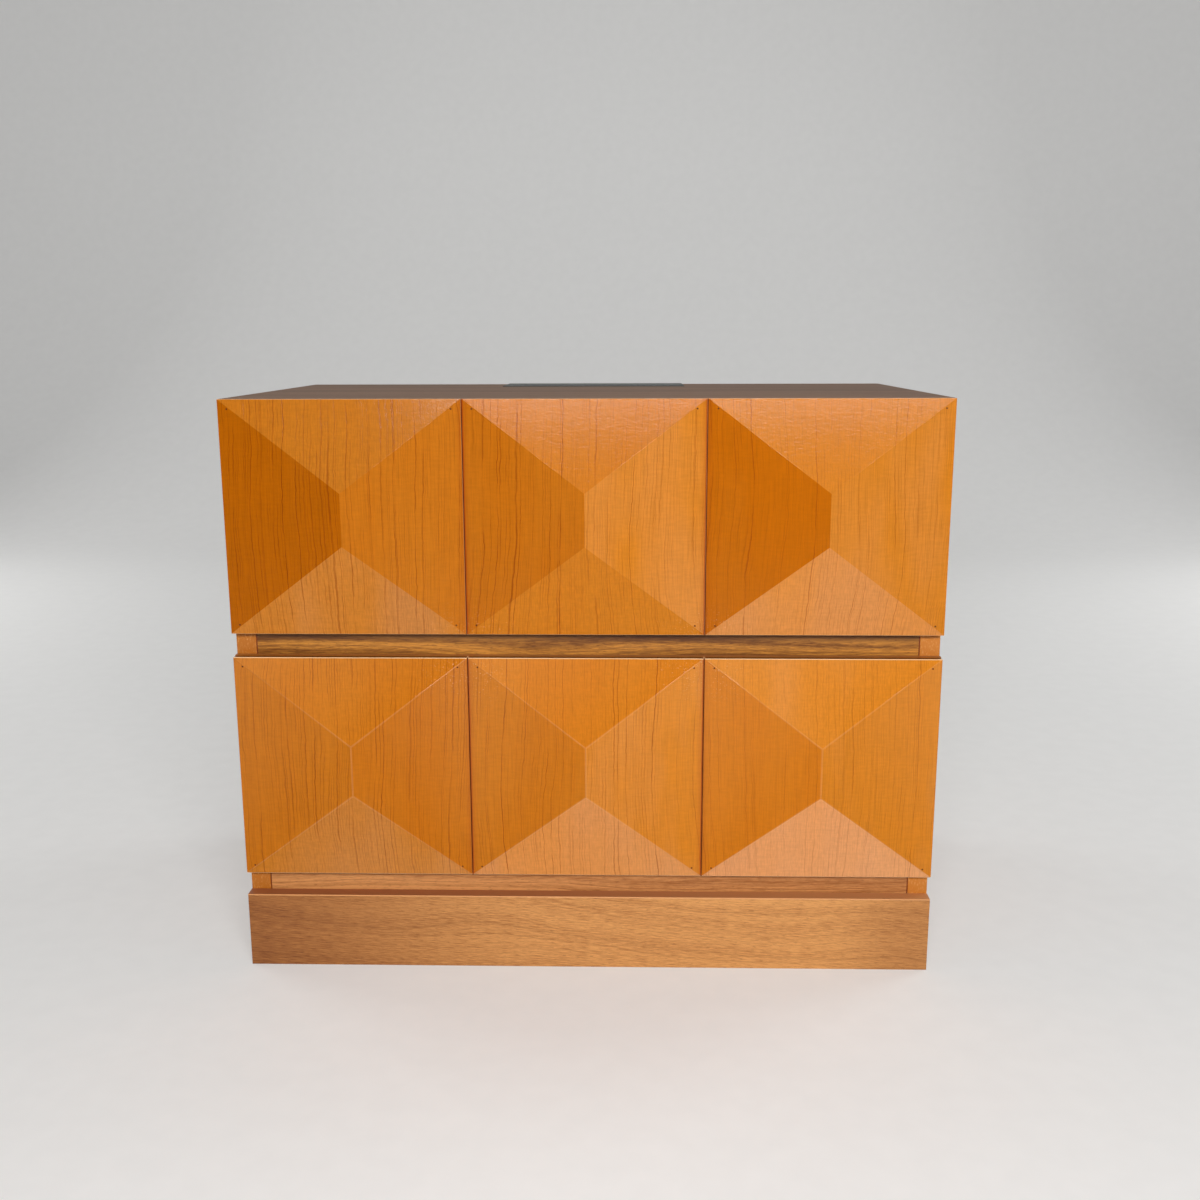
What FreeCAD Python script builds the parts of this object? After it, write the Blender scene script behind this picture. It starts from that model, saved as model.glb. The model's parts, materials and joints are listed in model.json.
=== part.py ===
# Nightstand with two drawers. Each front is faced with three hipped wooden blocks.
# Millimetres, +Z up, the fronts face -Y, the origin is on the floor under the middle of the cabinet.
import FreeCAD, Part
import os
import Sketcher

doc = FreeCAD.newDocument("nightstand")
sizes = doc.addObject("Spreadsheet::Sheet", "sizes")

DRIVING_SIZES = (
    ("cabinet_width", 600, "over the side panels, the fronts and the plinth"),
    ("cabinet_height", 500, "floor to the top surface"),
    ("carcass_depth", 317, "front edges of the side panels to their back edges"),
    ("panel_thickness", 17, "top and side panels"),
    ("plinth_height", 67, "floor to the ledge of the plinth"),
    ("plinth_thickness", 13, "plinth board, which is also the depth of its ledge"),
    ("plinth_arris", 0.8, "bevel along the front edge of the ledge"),
    ("plinth_lap", 3, "bottom rail down behind the ledge of the plinth"),
    ("finger_gap", 20.5, "between the fronts, and between the lower front and the plinth"),
    ("rail_thickness", 18, "front rails, front to back"),
    ("rail_setback", 1, "rails behind the front edges of the side panels"),
    ("rail_overlap", 8, "how far each rail reaches behind a front"),
    ("bottom_thickness", 12, "bottom panel"),
    ("dado_depth", 6, "bottom panel into each side panel"),
    ("back_thickness", 4, "back panel"),
    ("back_recess", 1, "back panel in from the back edges"),
    ("rabbet_width", 8, "how far the back panel lies on the side and top panels"),
    ("nail_diameter", 1.8, "back panel nails"),
    ("nail_length", 18, "back panel nails"),
    ("nail_head", 4, "back panel nails, over the head"),
    ("nail_head_height", 0.7, "back panel nails"),
    ("nail_inset", 50, "outer nails of a row in from its ends"),
    ("nails_across", 4, "nails of the back panel in each horizontal row"),
    ("nails_up", 4, "nails of the back panel in each upright row"),
    ("stretcher_thickness", 15, "rear stretcher, front to back"),
    ("stretcher_clearance", 12, "rear stretcher above the floor"),
    ("tongue_thickness", 4, "loose tongues of the mitred corners"),
    ("tongue_width", 12, "loose tongues, across the mitre"),
    ("tongue_stop", 20, "loose tongues in from the front and back edges"),
    ("dowel_diameter", 8, "dowels of the rails and the stretcher"),
    ("dowel_in_panel", 10, "dowel length in a side panel"),
    ("dowel_in_rail", 20, "dowel length in a rail"),
    ("dowel_spacing", 14, "between the two dowels of one joint"),
    ("glue_block_size", 22, "legs of the triangular blocks behind the plinth"),
    ("glue_block_length", 60, "blocks behind the plinth"),
    ("glue_block_pitch", 140, "between neighbouring blocks behind the plinth"),
    ("glue_blocks", 4, "blocks behind the plinth, in one row"),
    ("plate_width", 184, "dark plate in the top"),
    ("plate_depth", 70, "dark plate, from the back edge of the top"),
    ("plate_thickness", 3, "dark plate"),
    ("plate_proud", 0.8, "dark plate above the top surface"),
    ("plate_gap", 0.2, "round the dark plate in its recess"),
    ("plate_bevel", 0.5, "upper edges of the dark plate"),
    ("runner_height", 15, "drawer runners"),
    ("runner_start", 22, "drawer runners behind the front edges of the side panels"),
    ("runner_rear_gap", 12, "drawer runners to the back panel"),
    ("runner_lead", 4, "bevel on the front end of a runner"),
    ("runner_screw_inset", 30, "first and last screw in from the ends of a runner"),
    ("runner_screws", 3, "screws of one runner, in one row"),
    ("screw_diameter", 3.5, "runner screws and front screws"),
    ("screw_head", 7, "runner screws and front screws, over the head"),
    ("screw_play", 0.1, "round every screw, nail and pin in its hole"),
    ("runner_screw_length", 22, "runner screws"),
    ("closing_gap", 0.3, "between a closed front and the side panels"),
    ("backing_thickness", 6, "board that carries the three blocks of a front"),
    ("finger_bevel", 4.5, "bevel to pull by, behind the lower edge of a front"),
    ("block_edge", 7, "block thickness at its edges"),
    ("block_relief", 11, "ridge of a block above its edges"),
    ("block_ridge", 44, "length of the upright ridge of a block"),
    ("block_joint", 1, "crack between neighbouring blocks"),
    ("pin_diameter", 1.6, "pins of the blocks"),
    ("pin_length", 11, "pins of the blocks"),
    ("pin_inset", 8, "pins in from the edges of their block"),
    ("pin_sink", 0.3, "pin ends below the surface of the block"),
    ("side_gap", 4, "between a drawer box and a side panel"),
    ("box_lift", 14, "drawer box above the lower edge of its front"),
    ("box_headroom", 27, "drawer box below the upper edge of its front"),
    ("box_rear_gap", 22, "drawer box to the back panel"),
    ("box_front_thickness", 15, "front board of a drawer box"),
    ("box_side_thickness", 12, "side boards of a drawer box"),
    ("box_back_thickness", 12, "back board of a drawer box"),
    ("tail_count", 5, "dovetails on a front corner, one more than on a back corner"),
    ("tail_width", 18, "dovetails at their root"),
    ("tail_flare", 2, "dovetails, wider on each side at their end"),
    ("tail_reach", 10, "dovetails into the front board of the box"),
    ("groove_depth", 7, "runner groove in a drawer side"),
    ("groove_play", 0.4, "runner groove taller than the runner"),
    ("groove_side_play", 0.5, "runner groove deeper than the runner reaches"),
    ("groove_stop", 2, "front end of the groove in front of the runner"),
    ("tray_thickness", 5, "drawer bottom"),
    ("tray_height", 8, "drawer bottom above the lower edge of the box"),
    ("tray_inset", 6, "drawer bottom into the front and side boards"),
    ("tray_play", 0.3, "drawer bottom to the end of its grooves"),
    ("tray_screw_diameter", 3, "screws of the drawer bottom"),
    ("tray_screw_head", 6, "screws of the drawer bottom, over the head"),
    ("tray_screw_length", 20, "screws of the drawer bottom"),
    ("tray_screw_pitch", 200, "between the screws of the drawer bottom"),
    ("tray_screws", 3, "screws of the drawer bottom, in one row"),
    ("front_screw_length", 30, "front screws, through the box front into a block"),
    ("front_screw_pitch", 90, "between the two screws of one block"),
    ("front_screw_head_height", 2.4, "front screws, round head inside the box"),
)

for row, (alias, value, note) in enumerate(DRIVING_SIZES, start=1):
    sizes.set(f"A{row}", note)
    sizes.set(f"B{row}", str(value))
    sizes.setAlias(f"B{row}", alias)
doc.recompute()

# Counts that the design keeps, whatever the sizes.
PAIR = "2"
BLOCKS_ACROSS = "3"

# Places and sizes that follow from the driving ones, as expressions on the sheet.
HALF_WIDTH = "(sizes.cabinet_width / 2)"
INNER_HALF = "(sizes.cabinet_width / 2 - sizes.panel_thickness)"
FRONT_STACK = "(sizes.closing_gap + sizes.backing_thickness + sizes.block_edge + sizes.block_relief)"
CARCASS_FACE = f"(({FRONT_STACK} - sizes.carcass_depth) / 2)"
FRONT_HEIGHT = "((sizes.cabinet_height - sizes.plinth_height - 2 * sizes.finger_gap) / 2)"
LOWER_FRONT_Z = "(sizes.plinth_height + sizes.finger_gap)"
UPPER_FRONT_Z = f"({LOWER_FRONT_Z} + {FRONT_HEIGHT} + sizes.finger_gap)"
TOP_UNDERSIDE = "(sizes.cabinet_height - sizes.panel_thickness)"
BACK_INNER_FACE = "(sizes.carcass_depth - sizes.back_recess - sizes.back_thickness)"
BACK_TOP = f"({TOP_UNDERSIDE} + sizes.rabbet_width)"
BOTTOM_FRONT = "(sizes.rail_setback + sizes.rail_thickness)"
BOTTOM_RAIL_Z = "(sizes.plinth_height - sizes.plinth_lap)"
BOTTOM_RAIL_HEIGHT = "(sizes.plinth_lap + sizes.finger_gap + sizes.rail_overlap)"
MIDDLE_RAIL_HEIGHT = "(sizes.finger_gap + 2 * sizes.rail_overlap)"
MIDDLE_RAIL_Z = f"({LOWER_FRONT_Z} + {FRONT_HEIGHT} - sizes.rail_overlap)"
STRETCHER_HEIGHT = "(sizes.plinth_height - sizes.stretcher_clearance)"
BOX_HALF = f"({INNER_HALF} - sizes.side_gap)"
BOX_INNER_HALF = f"({BOX_HALF} - sizes.box_side_thickness)"
BOX_HEIGHT = f"({FRONT_HEIGHT} - sizes.box_lift - sizes.box_headroom)"
BOX_LENGTH = f"({BACK_INNER_FACE} - sizes.box_rear_gap)"
BOX_REAR_SHOULDER = f"({BOX_LENGTH} - sizes.box_back_thickness)"
BOX_BACK_Z = "(sizes.box_lift + sizes.tray_height + sizes.tray_thickness)"
TAIL_PITCH = f"({BOX_HEIGHT} / sizes.tail_count)"
RUNNER_WIDTH = "(sizes.side_gap + sizes.groove_depth - sizes.groove_side_play)"
RUNNER_LENGTH = f"({BACK_INNER_FACE} - sizes.runner_start - sizes.runner_rear_gap)"
RUNNER_MIDDLE = f"(sizes.box_lift + {BOX_HEIGHT} / 2)"
BLOCK_PITCH = f"(sizes.cabinet_width / {BLOCKS_ACROSS})"
BLOCK_HALF = f"({BLOCK_PITCH} / 2 - sizes.block_joint / 2)"
BLOCK_EDGE_Y = "(-sizes.backing_thickness - sizes.block_edge)"
BLOCK_RIDGE_Y = f"({BLOCK_EDGE_Y} - sizes.block_relief)"
PIN_X = f"({BLOCK_HALF} - sizes.pin_inset)"
PIN_END_Y = f"({BLOCK_EDGE_Y} - sizes.block_relief * sizes.pin_inset / {BLOCK_HALF} + sizes.pin_sink)"
PIN_POINT_Y = f"({PIN_END_Y} + sizes.pin_length)"
SCREW_BITE_Y = "(sizes.box_front_thickness - sizes.front_screw_length)"
COUNTERSINK_DEPTH = "((sizes.screw_head - sizes.screw_diameter) / 2)"
NAIL_HOLE = "sizes.nail_diameter + sizes.screw_play"
PIN_HOLE = "sizes.pin_diameter + sizes.screw_play"
SCREW_HOLE = "sizes.screw_diameter + sizes.screw_play"
TRAY_SCREW_HOLE = "sizes.tray_screw_diameter + sizes.screw_play"
TRAY_Z = "(sizes.box_lift + sizes.tray_height)"
TONGUE_LENGTH = "(sizes.carcass_depth - 2 * sizes.tongue_stop)"
NAIL_BITE = "(sizes.nail_length - sizes.back_thickness)"
FIRST_NAIL_X = f"-({INNER_HALF} - sizes.nail_inset)"
NAIL_ROW = ("X_Axis", f"2 * ({INNER_HALF} - sizes.nail_inset)", "sizes.nails_across")
DOWEL_PAIR = ("Z_Axis", "sizes.dowel_spacing", PAIR)
RUNNER_SCREW_Y = "(sizes.runner_start + sizes.runner_screw_inset)"
RUNNER_SCREW_ROW = ("Y_Axis", f"{RUNNER_LENGTH} - 2 * sizes.runner_screw_inset", "sizes.runner_screws")

PLANE_NORMALS = {"XY_Plane": "+z", "XZ_Plane": "-y", "YZ_Plane": "+x"}
FASTENER_SIDES = 6
DOWEL_SIDES = 8
COUNTERSINK_ANGLE = 45
ROUND_HEAD_ANGLE = 30
SAME_LENGTH = 0.01
sub_parts = []


def measure(expression):
    """Value of an expression on the sheet, in millimetres."""
    return float(sizes.evalExpression(expression))


def place(piece, x="0", y="0", z="0"):
    """Bind the placement of a sub-part to the sheet."""
    piece.setExpression(".Placement.Base.x", x)
    piece.setExpression(".Placement.Base.y", y)
    piece.setExpression(".Placement.Base.z", z)
    sub_parts.append(piece)


def start_body(label, **position):
    """A new body, whose label is the name of its sub-part."""
    body = doc.addObject("PartDesign::Body", label)
    body.Label = label
    place(body, **position)
    return body


def mirror_piece(label, source):
    """The right-hand twin of a left-hand sub-part."""
    twin = doc.addObject("Part::Mirroring", label)
    twin.Label = label
    twin.Source = source
    twin.Normal = FreeCAD.Vector(1, 0, 0)
    twin.Base = FreeCAD.Vector(0, 0, 0)
    sub_parts.append(twin)
    return twin


def origin_feature(body, role):
    """One of the body's own planes or axes."""
    return [feature for feature in body.Origin.OriginFeatures if feature.Role == role][0]


def start_sketch(body, name, plane, at="0"):
    """An empty sketch parallel to an origin plane, at a coordinate along X, Y or Z."""
    sketch = body.newObject("Sketcher::SketchObject", f"{body.Name}_{name}_sketch")
    sketch.AttachmentSupport = [(origin_feature(body, plane), "")]
    sketch.MapMode = "FlatFace"
    sign = "-" if PLANE_NORMALS[plane].startswith("-") else ""
    sketch.setExpression(".AttachmentOffset.Base.z", f"{sign}({at})")
    return sketch


def hold(sketch, kind, geometry, size):
    """Add a dimension that the sheet drives."""
    index = sketch.addConstraint(Sketcher.Constraint(kind, *geometry, measure(size)))
    sketch.setExpression(f"Constraints[{index}]", size)


def polygon(sketch, corners):
    """A closed outline whose corners are pairs of expressions."""
    points = [FreeCAD.Vector(measure(across), measure(up), 0) for across, up in corners]
    lines = []
    for start, end in zip(points, points[1:] + points[:1]):
        lines.append(sketch.addGeometry(Part.LineSegment(start, end), False))
    for line, following in zip(lines, lines[1:] + lines[:1]):
        sketch.addConstraint(Sketcher.Constraint("Coincident", line, 2, following, 1))
    for line, (across, up) in zip(lines, corners):
        hold(sketch, "DistanceX", (-1, 1, line, 1), across)
        hold(sketch, "DistanceY", (-1, 1, line, 1), up)


def rectangle(sketch, left, low, width, height):
    """A closed rectangle from its lower left corner, its width and its height."""
    right = f"{left} + {width}"
    high = f"{low} + {height}"
    polygon(sketch, ((left, low), (right, low), (right, high), (left, high)))


def round_outline(sketch, centre, diameter, sides):
    """A small round, drawn with a few flat sides. Its centre is a pair of expressions."""
    across, up = centre
    corners = []
    for number in range(sides):
        angle = 360 * number / sides
        corners.append((
            f"{across} + cos({angle}) * ({diameter}) / 2",
            f"{up} + sin({angle}) * ({diameter}) / 2",
        ))
    polygon(sketch, corners)


def extrude(body, kind, name, sketch, length, towards):
    """A Pad or Pocket that runs from its sketch towards +x, -x, +y, -y, +z or -z."""
    feature = body.newObject(f"PartDesign::{kind}", f"{body.Name}_{name}")
    feature.Profile = sketch
    feature.setExpression("Length", length)
    plane = sketch.AttachmentSupport[0][0].Role
    along_normal = PLANE_NORMALS[plane] == towards
    feature.Reversed = along_normal if kind == "Pocket" else not along_normal
    body.Tip = feature
    return feature


def pad_rectangle(body, name, plane, at, outline, length, towards):
    """Grow a board from a rectangle given as left, low, width and height."""
    sketch = start_sketch(body, name, plane, at)
    rectangle(sketch, *outline)
    return extrude(body, "Pad", name, sketch, length, towards)


def cut_rectangle(body, name, plane, at, outline, length, towards):
    """Cut a groove, rabbet or recess from a rectangle given as left, low, width and height."""
    sketch = start_sketch(body, name, plane, at)
    rectangle(sketch, *outline)
    return extrude(body, "Pocket", name, sketch, length, towards)


def repeat(body, name, originals, rows, mirrored=False):
    """Copy features in rows of (axis, length, count), and across the middle where asked."""
    steps = []
    pattern = body.newObject("PartDesign::MultiTransform", f"{body.Name}_{name}")
    pattern.Originals = originals
    for number, (axis, length, count) in enumerate(rows):
        row_step = body.newObject("PartDesign::LinearPattern", f"{body.Name}_{name}_row_{number}")
        row_step.Direction = (origin_feature(body, axis), [""])
        row_step.setExpression("Length", length)
        row_step.setExpression("Occurrences", count)
        steps.append(row_step)
    if mirrored:
        mirror_step = body.newObject("PartDesign::Mirrored", f"{body.Name}_{name}_mirror")
        mirror_step.MirrorPlane = (origin_feature(body, "YZ_Plane"), [""])
        steps.append(mirror_step)
    pattern.Transformations = steps
    body.Tip = pattern
    return pattern


def spread(first, *rows, mirrored=False):
    """Where equal rounds go: the first centre, the rows that copy it, and a mirror."""
    return {"first": first, "rows": rows, "mirrored": mirrored}


def round_features(body, kind, name, plane, at, spots, diameter, length, towards, sides, taper):
    """The first round feature, and its copies."""
    sketch = start_sketch(body, name, plane, at)
    round_outline(sketch, spots["first"], diameter, sides)
    first = extrude(body, kind, name, sketch, length, towards)
    first.TaperAngle = -taper
    if spots["rows"] or spots["mirrored"]:
        repeat(body, f"{name}_copies", [first], spots["rows"], spots["mirrored"])


def drill(body, name, plane, at, spots, diameter, depth, towards, sides=FASTENER_SIDES, taper=0):
    """Holes of one size, which can narrow by an angle in degrees."""
    round_features(body, "Pocket", name, plane, at, spots, diameter, depth, towards, sides, taper)


def grow_rods(body, name, plane, at, spots, diameter, length, towards, sides=FASTENER_SIDES, taper=0):
    """Separate rods of one size, such as dowels, nails, pins and the shanks and heads of screws."""
    round_features(body, "Pad", name, plane, at, spots, diameter, length, towards, sides, taper)


def bevel(body, name, size, wanted):
    """Chamfer the edges of the body that a test on their bounding box picks."""
    doc.recompute()
    base = body.Tip
    edges = enumerate(base.Shape.Edges, start=1)
    names = [f"Edge{number}" for number, edge in edges if wanted(edge.BoundBox)]
    feature = body.newObject("PartDesign::Chamfer", f"{body.Name}_{name}")
    feature.Base = (base, names)
    feature.setExpression("Size", size)
    body.Tip = feature
    return feature


def near(value, target):
    """Whether two lengths are the same to a hundredth of a millimetre."""
    return abs(value - target) < SAME_LENGTH


# Tongue of the right-hand top corner, as offsets from the middle of the mitre.
TONGUE_ALONG = "(sizes.tongue_thickness / 2 / sqrt(2))"
TONGUE_ACROSS = "(sizes.tongue_width / 2 / sqrt(2))"


def tongue_outline(sketch, side, low):
    """Section of a loose tongue, square to the mitre. Side is -1 for left and 1 for right."""
    middle_x = f"{side} * ({HALF_WIDTH} - sizes.panel_thickness / 2)"
    middle_z = f"({low} + sizes.panel_thickness / 2)"
    corners = []
    for along, across in ((1, 1), (-1, 1), (-1, -1), (1, -1)):
        offset_x = f"{side} * ({along} * {TONGUE_ALONG} - {across} * {TONGUE_ACROSS})"
        offset_z = f"({along} * {TONGUE_ALONG} + {across} * {TONGUE_ACROSS})"
        corners.append((f"{middle_x} + {offset_x}", f"{middle_z} + {offset_z}"))
    polygon(sketch, corners)


def make_top_panel():
    """Top board with mitred ends, a rabbet for the back and a shallow recess for the dark plate."""
    body = start_body("top_panel", y=CARCASS_FACE, z=TOP_UNDERSIDE)
    section = start_sketch(body, "section", "XZ_Plane")
    polygon(section, (
        (f"-{INNER_HALF}", "0"),
        (INNER_HALF, "0"),
        (HALF_WIDTH, "sizes.panel_thickness"),
        (f"-{HALF_WIDTH}", "sizes.panel_thickness"),
    ))
    extrude(body, "Pad", "board", section, "sizes.carcass_depth", "+y")
    rabbet_left = f"-({INNER_HALF} + sizes.rabbet_width)"
    rabbet = (rabbet_left, "0", f"2 * ({INNER_HALF} + sizes.rabbet_width)", "sizes.rabbet_width")
    rabbet_depth = "sizes.back_recess + sizes.back_thickness"
    cut_rectangle(body, "back_rabbet", "XZ_Plane", "sizes.carcass_depth", rabbet, rabbet_depth, "-y")
    for side, name in ((-1, "left"), (1, "right")):
        slot = start_sketch(body, f"tongue_slot_{name}", "XZ_Plane", "sizes.tongue_stop")
        tongue_outline(slot, side, "0")
        extrude(body, "Pocket", f"tongue_slot_{name}", slot, TONGUE_LENGTH, "+y")
    recess = (
        "-(sizes.plate_width / 2 + sizes.plate_gap)",
        "sizes.carcass_depth - sizes.plate_depth - sizes.plate_gap",
        "sizes.plate_width + 2 * sizes.plate_gap",
        "sizes.plate_depth + sizes.plate_gap",
    )
    recess_depth = "sizes.plate_thickness - sizes.plate_proud"
    cut_rectangle(body, "plate_recess", "XY_Plane", "sizes.panel_thickness", recess, recess_depth, "-z")
    nails = spread((FIRST_NAIL_X, "sizes.rabbet_width / 2"), NAIL_ROW)
    drill(body, "nail_holes", "XZ_Plane", BACK_INNER_FACE, nails, NAIL_HOLE, NAIL_BITE, "-y")


def nail_column(mirrored):
    """Back panel nails up the left side panel, or up both."""
    first = (f"-({INNER_HALF} + sizes.rabbet_width / 2)", "sizes.plinth_height + sizes.nail_inset")
    height = f"{BACK_TOP} - sizes.plinth_height - 2 * sizes.nail_inset"
    return spread(first, ("Z_Axis", height, "sizes.nails_up"), mirrored=mirrored)


def rail_dowels(mirrored):
    """Dowels of the two front rails, in the left side panel or at both ends."""
    depth = "sizes.rail_setback + sizes.rail_thickness / 2"
    low = f"{BOTTOM_RAIL_Z} + ({BOTTOM_RAIL_HEIGHT} - sizes.dowel_spacing) / 2"
    rise = f"{MIDDLE_RAIL_Z} + {MIDDLE_RAIL_HEIGHT} / 2 - {BOTTOM_RAIL_Z} - {BOTTOM_RAIL_HEIGHT} / 2"
    return spread((depth, low), DOWEL_PAIR, ("Z_Axis", rise, PAIR), mirrored=mirrored)


def stretcher_dowels(mirrored):
    """Dowels of the rear stretcher, in the left side panel or at both ends."""
    depth = f"{BACK_INNER_FACE} - sizes.stretcher_thickness / 2"
    low = f"sizes.stretcher_clearance + ({STRETCHER_HEIGHT} - sizes.dowel_spacing) / 2"
    return spread((depth, low), DOWEL_PAIR, mirrored=mirrored)


def all_runner_screws(mirrored):
    """Screws of both runners in the left side panel, or of all four."""
    rise = ("Z_Axis", f"{UPPER_FRONT_Z} - {LOWER_FRONT_Z}", PAIR)
    first = (RUNNER_SCREW_Y, f"{LOWER_FRONT_Z} + {RUNNER_MIDDLE}")
    return spread(first, RUNNER_SCREW_ROW, rise, mirrored=mirrored)


def make_side_panels():
    """Side boards down to the floor, mitred at the top, with all their joints cut on the inside."""
    body = start_body("side_panel_left", y=CARCASS_FACE)
    section = start_sketch(body, "section", "XZ_Plane")
    polygon(section, (
        (f"-{HALF_WIDTH}", "0"),
        (f"-{INNER_HALF}", "0"),
        (f"-{INNER_HALF}", TOP_UNDERSIDE),
        (f"-{HALF_WIDTH}", "sizes.cabinet_height"),
    ))
    extrude(body, "Pad", "board", section, "sizes.carcass_depth", "+y")
    rabbet = (
        f"-({INNER_HALF} + sizes.rabbet_width)",
        "sizes.plinth_height",
        "sizes.rabbet_width",
        f"{BACK_TOP} - sizes.plinth_height",
    )
    rabbet_depth = "sizes.back_recess + sizes.back_thickness"
    cut_rectangle(body, "back_rabbet", "XZ_Plane", "sizes.carcass_depth", rabbet, rabbet_depth, "-y")
    dado_left = f"-({INNER_HALF} + sizes.dado_depth)"
    dado = (dado_left, "sizes.plinth_height", "sizes.dado_depth", "sizes.bottom_thickness")
    dado_length = f"{BACK_INNER_FACE} - {BOTTOM_FRONT}"
    cut_rectangle(body, "bottom_dado", "XZ_Plane", BOTTOM_FRONT, dado, dado_length, "+y")
    slot = start_sketch(body, "tongue_slot", "XZ_Plane", "sizes.tongue_stop")
    tongue_outline(slot, -1, TOP_UNDERSIDE)
    extrude(body, "Pocket", "tongue_slot", slot, TONGUE_LENGTH, "+y")
    inner_face = f"-{INNER_HALF}"
    for name, dowels in (("rail", rail_dowels(False)), ("stretcher", stretcher_dowels(False))):
        drill(body, f"{name}_dowel_holes", "YZ_Plane", inner_face, dowels, "sizes.dowel_diameter",
              "sizes.dowel_in_panel", "-x", sides=DOWEL_SIDES)
    screw_bite = f"sizes.runner_screw_length - {RUNNER_WIDTH}"
    screws = all_runner_screws(mirrored=False)
    drill(body, "runner_screw_holes", "YZ_Plane", inner_face, screws, SCREW_HOLE, screw_bite, "-x")
    nails = nail_column(mirrored=False)
    drill(body, "nail_holes", "XZ_Plane", BACK_INNER_FACE, nails, NAIL_HOLE, NAIL_BITE, "-y")
    mirror_piece("side_panel_right", body)


def make_bottom_panel():
    """Plywood bottom, housed in the side panels behind the bottom rail."""
    body = start_body("bottom_panel", y=CARCASS_FACE, z="sizes.plinth_height")
    outline = (
        f"-({INNER_HALF} + sizes.dado_depth)",
        BOTTOM_FRONT,
        f"2 * ({INNER_HALF} + sizes.dado_depth)",
        f"{BACK_INNER_FACE} - {BOTTOM_FRONT}",
    )
    pad_rectangle(body, "board", "XY_Plane", "0", outline, "sizes.bottom_thickness", "+z")
    nails = spread((FIRST_NAIL_X, "sizes.bottom_thickness / 2"), NAIL_ROW)
    drill(body, "nail_holes", "XZ_Plane", BACK_INNER_FACE, nails, NAIL_HOLE, NAIL_BITE, "-y")


def make_rail(label, low, height, front, thickness):
    """A cross rail between the side panels, with two dowel holes in each end."""
    body = start_body(label, y=CARCASS_FACE, z=low)
    outline = (f"-{INNER_HALF}", "0", f"2 * {INNER_HALF}", height)
    pad_rectangle(body, "board", "XZ_Plane", front, outline, thickness, "+y")
    first = (f"{front} + {thickness} / 2", f"({height} - sizes.dowel_spacing) / 2")
    dowels = spread(first, DOWEL_PAIR, mirrored=True)
    drill(body, "dowel_holes", "YZ_Plane", f"-{INNER_HALF}", dowels, "sizes.dowel_diameter",
          "sizes.dowel_in_rail", "+x", sides=DOWEL_SIDES)


def make_dowels():
    """All dowels of the two rails and the rear stretcher."""
    body = start_body("carcass_dowels", y=CARCASS_FACE)
    start = f"-({INNER_HALF} + sizes.dowel_in_panel)"
    length = "sizes.dowel_in_panel + sizes.dowel_in_rail"
    for name, dowels in (("rail", rail_dowels(True)), ("stretcher", stretcher_dowels(True))):
        grow_rods(body, name, "YZ_Plane", start, dowels, "sizes.dowel_diameter", length, "+x",
                  sides=DOWEL_SIDES)


def make_back_panel():
    """Thin plywood back, nailed into the rabbets and to the bottom panel."""
    body = start_body("back_panel", y=CARCASS_FACE)
    outline = (
        f"-({INNER_HALF} + sizes.rabbet_width)",
        "sizes.plinth_height",
        f"2 * ({INNER_HALF} + sizes.rabbet_width)",
        f"{BACK_TOP} - sizes.plinth_height",
    )
    pad_rectangle(body, "board", "XZ_Plane", BACK_INNER_FACE, outline, "sizes.back_thickness", "+y")
    for name, nails in back_nails():
        drill(body, f"nail_holes_{name}", "XZ_Plane", BACK_INNER_FACE, nails, NAIL_HOLE,
              "sizes.back_thickness", "+y")


def back_nails():
    """Every back panel nail: along the top and bottom panels, and up the side panels."""
    low = "(sizes.plinth_height + sizes.bottom_thickness / 2)"
    rise = f"{TOP_UNDERSIDE} + sizes.rabbet_width / 2 - {low}"
    across = spread((FIRST_NAIL_X, low), NAIL_ROW, ("Z_Axis", rise, PAIR))
    return (("across", across), ("up", nail_column(mirrored=True)))


def make_back_nails():
    """Nails of the back panel. Their heads lie on it, inside the recess of the back edges."""
    body = start_body("back_panel_nails", y=CARCASS_FACE)
    back_face = f"{BACK_INNER_FACE} + sizes.back_thickness"
    for name, nails in back_nails():
        grow_rods(body, f"shanks_{name}", "XZ_Plane", back_face, nails, "sizes.nail_diameter",
                  "sizes.nail_length", "-y")
        grow_rods(body, f"heads_{name}", "XZ_Plane", back_face, nails, "sizes.nail_head",
                  "sizes.nail_head_height", "+y")


def make_plinth():
    """Plinth board on the front edges of the side panels, with glue blocks in the corner behind it."""
    board = start_body("plinth_front", y=CARCASS_FACE)
    outline = (f"-{HALF_WIDTH}", "0", "sizes.cabinet_width", "sizes.plinth_height")
    pad_rectangle(board, "board", "XZ_Plane", "0", outline, "sizes.plinth_thickness", "-y")
    ledge = measure("sizes.plinth_height")
    front = -measure("sizes.plinth_thickness")
    bevel(board, "arris", "sizes.plinth_arris",
          lambda box: near(box.ZMin, ledge) and near(box.YMax, front))

    blocks = start_body("plinth_glue_blocks", y=CARCASS_FACE)
    row_length = "(sizes.glue_blocks - 1) * sizes.glue_block_pitch"
    section = start_sketch(blocks, "section", "YZ_Plane", f"-({row_length} + sizes.glue_block_length) / 2")
    polygon(section, (
        ("0", f"{BOTTOM_RAIL_Z} - sizes.glue_block_size"),
        ("sizes.glue_block_size", BOTTOM_RAIL_Z),
        ("0", BOTTOM_RAIL_Z),
    ))
    block = extrude(blocks, "Pad", "block", section, "sizes.glue_block_length", "+x")
    repeat(blocks, "row", [block], (("X_Axis", row_length, "sizes.glue_blocks"),))


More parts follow.
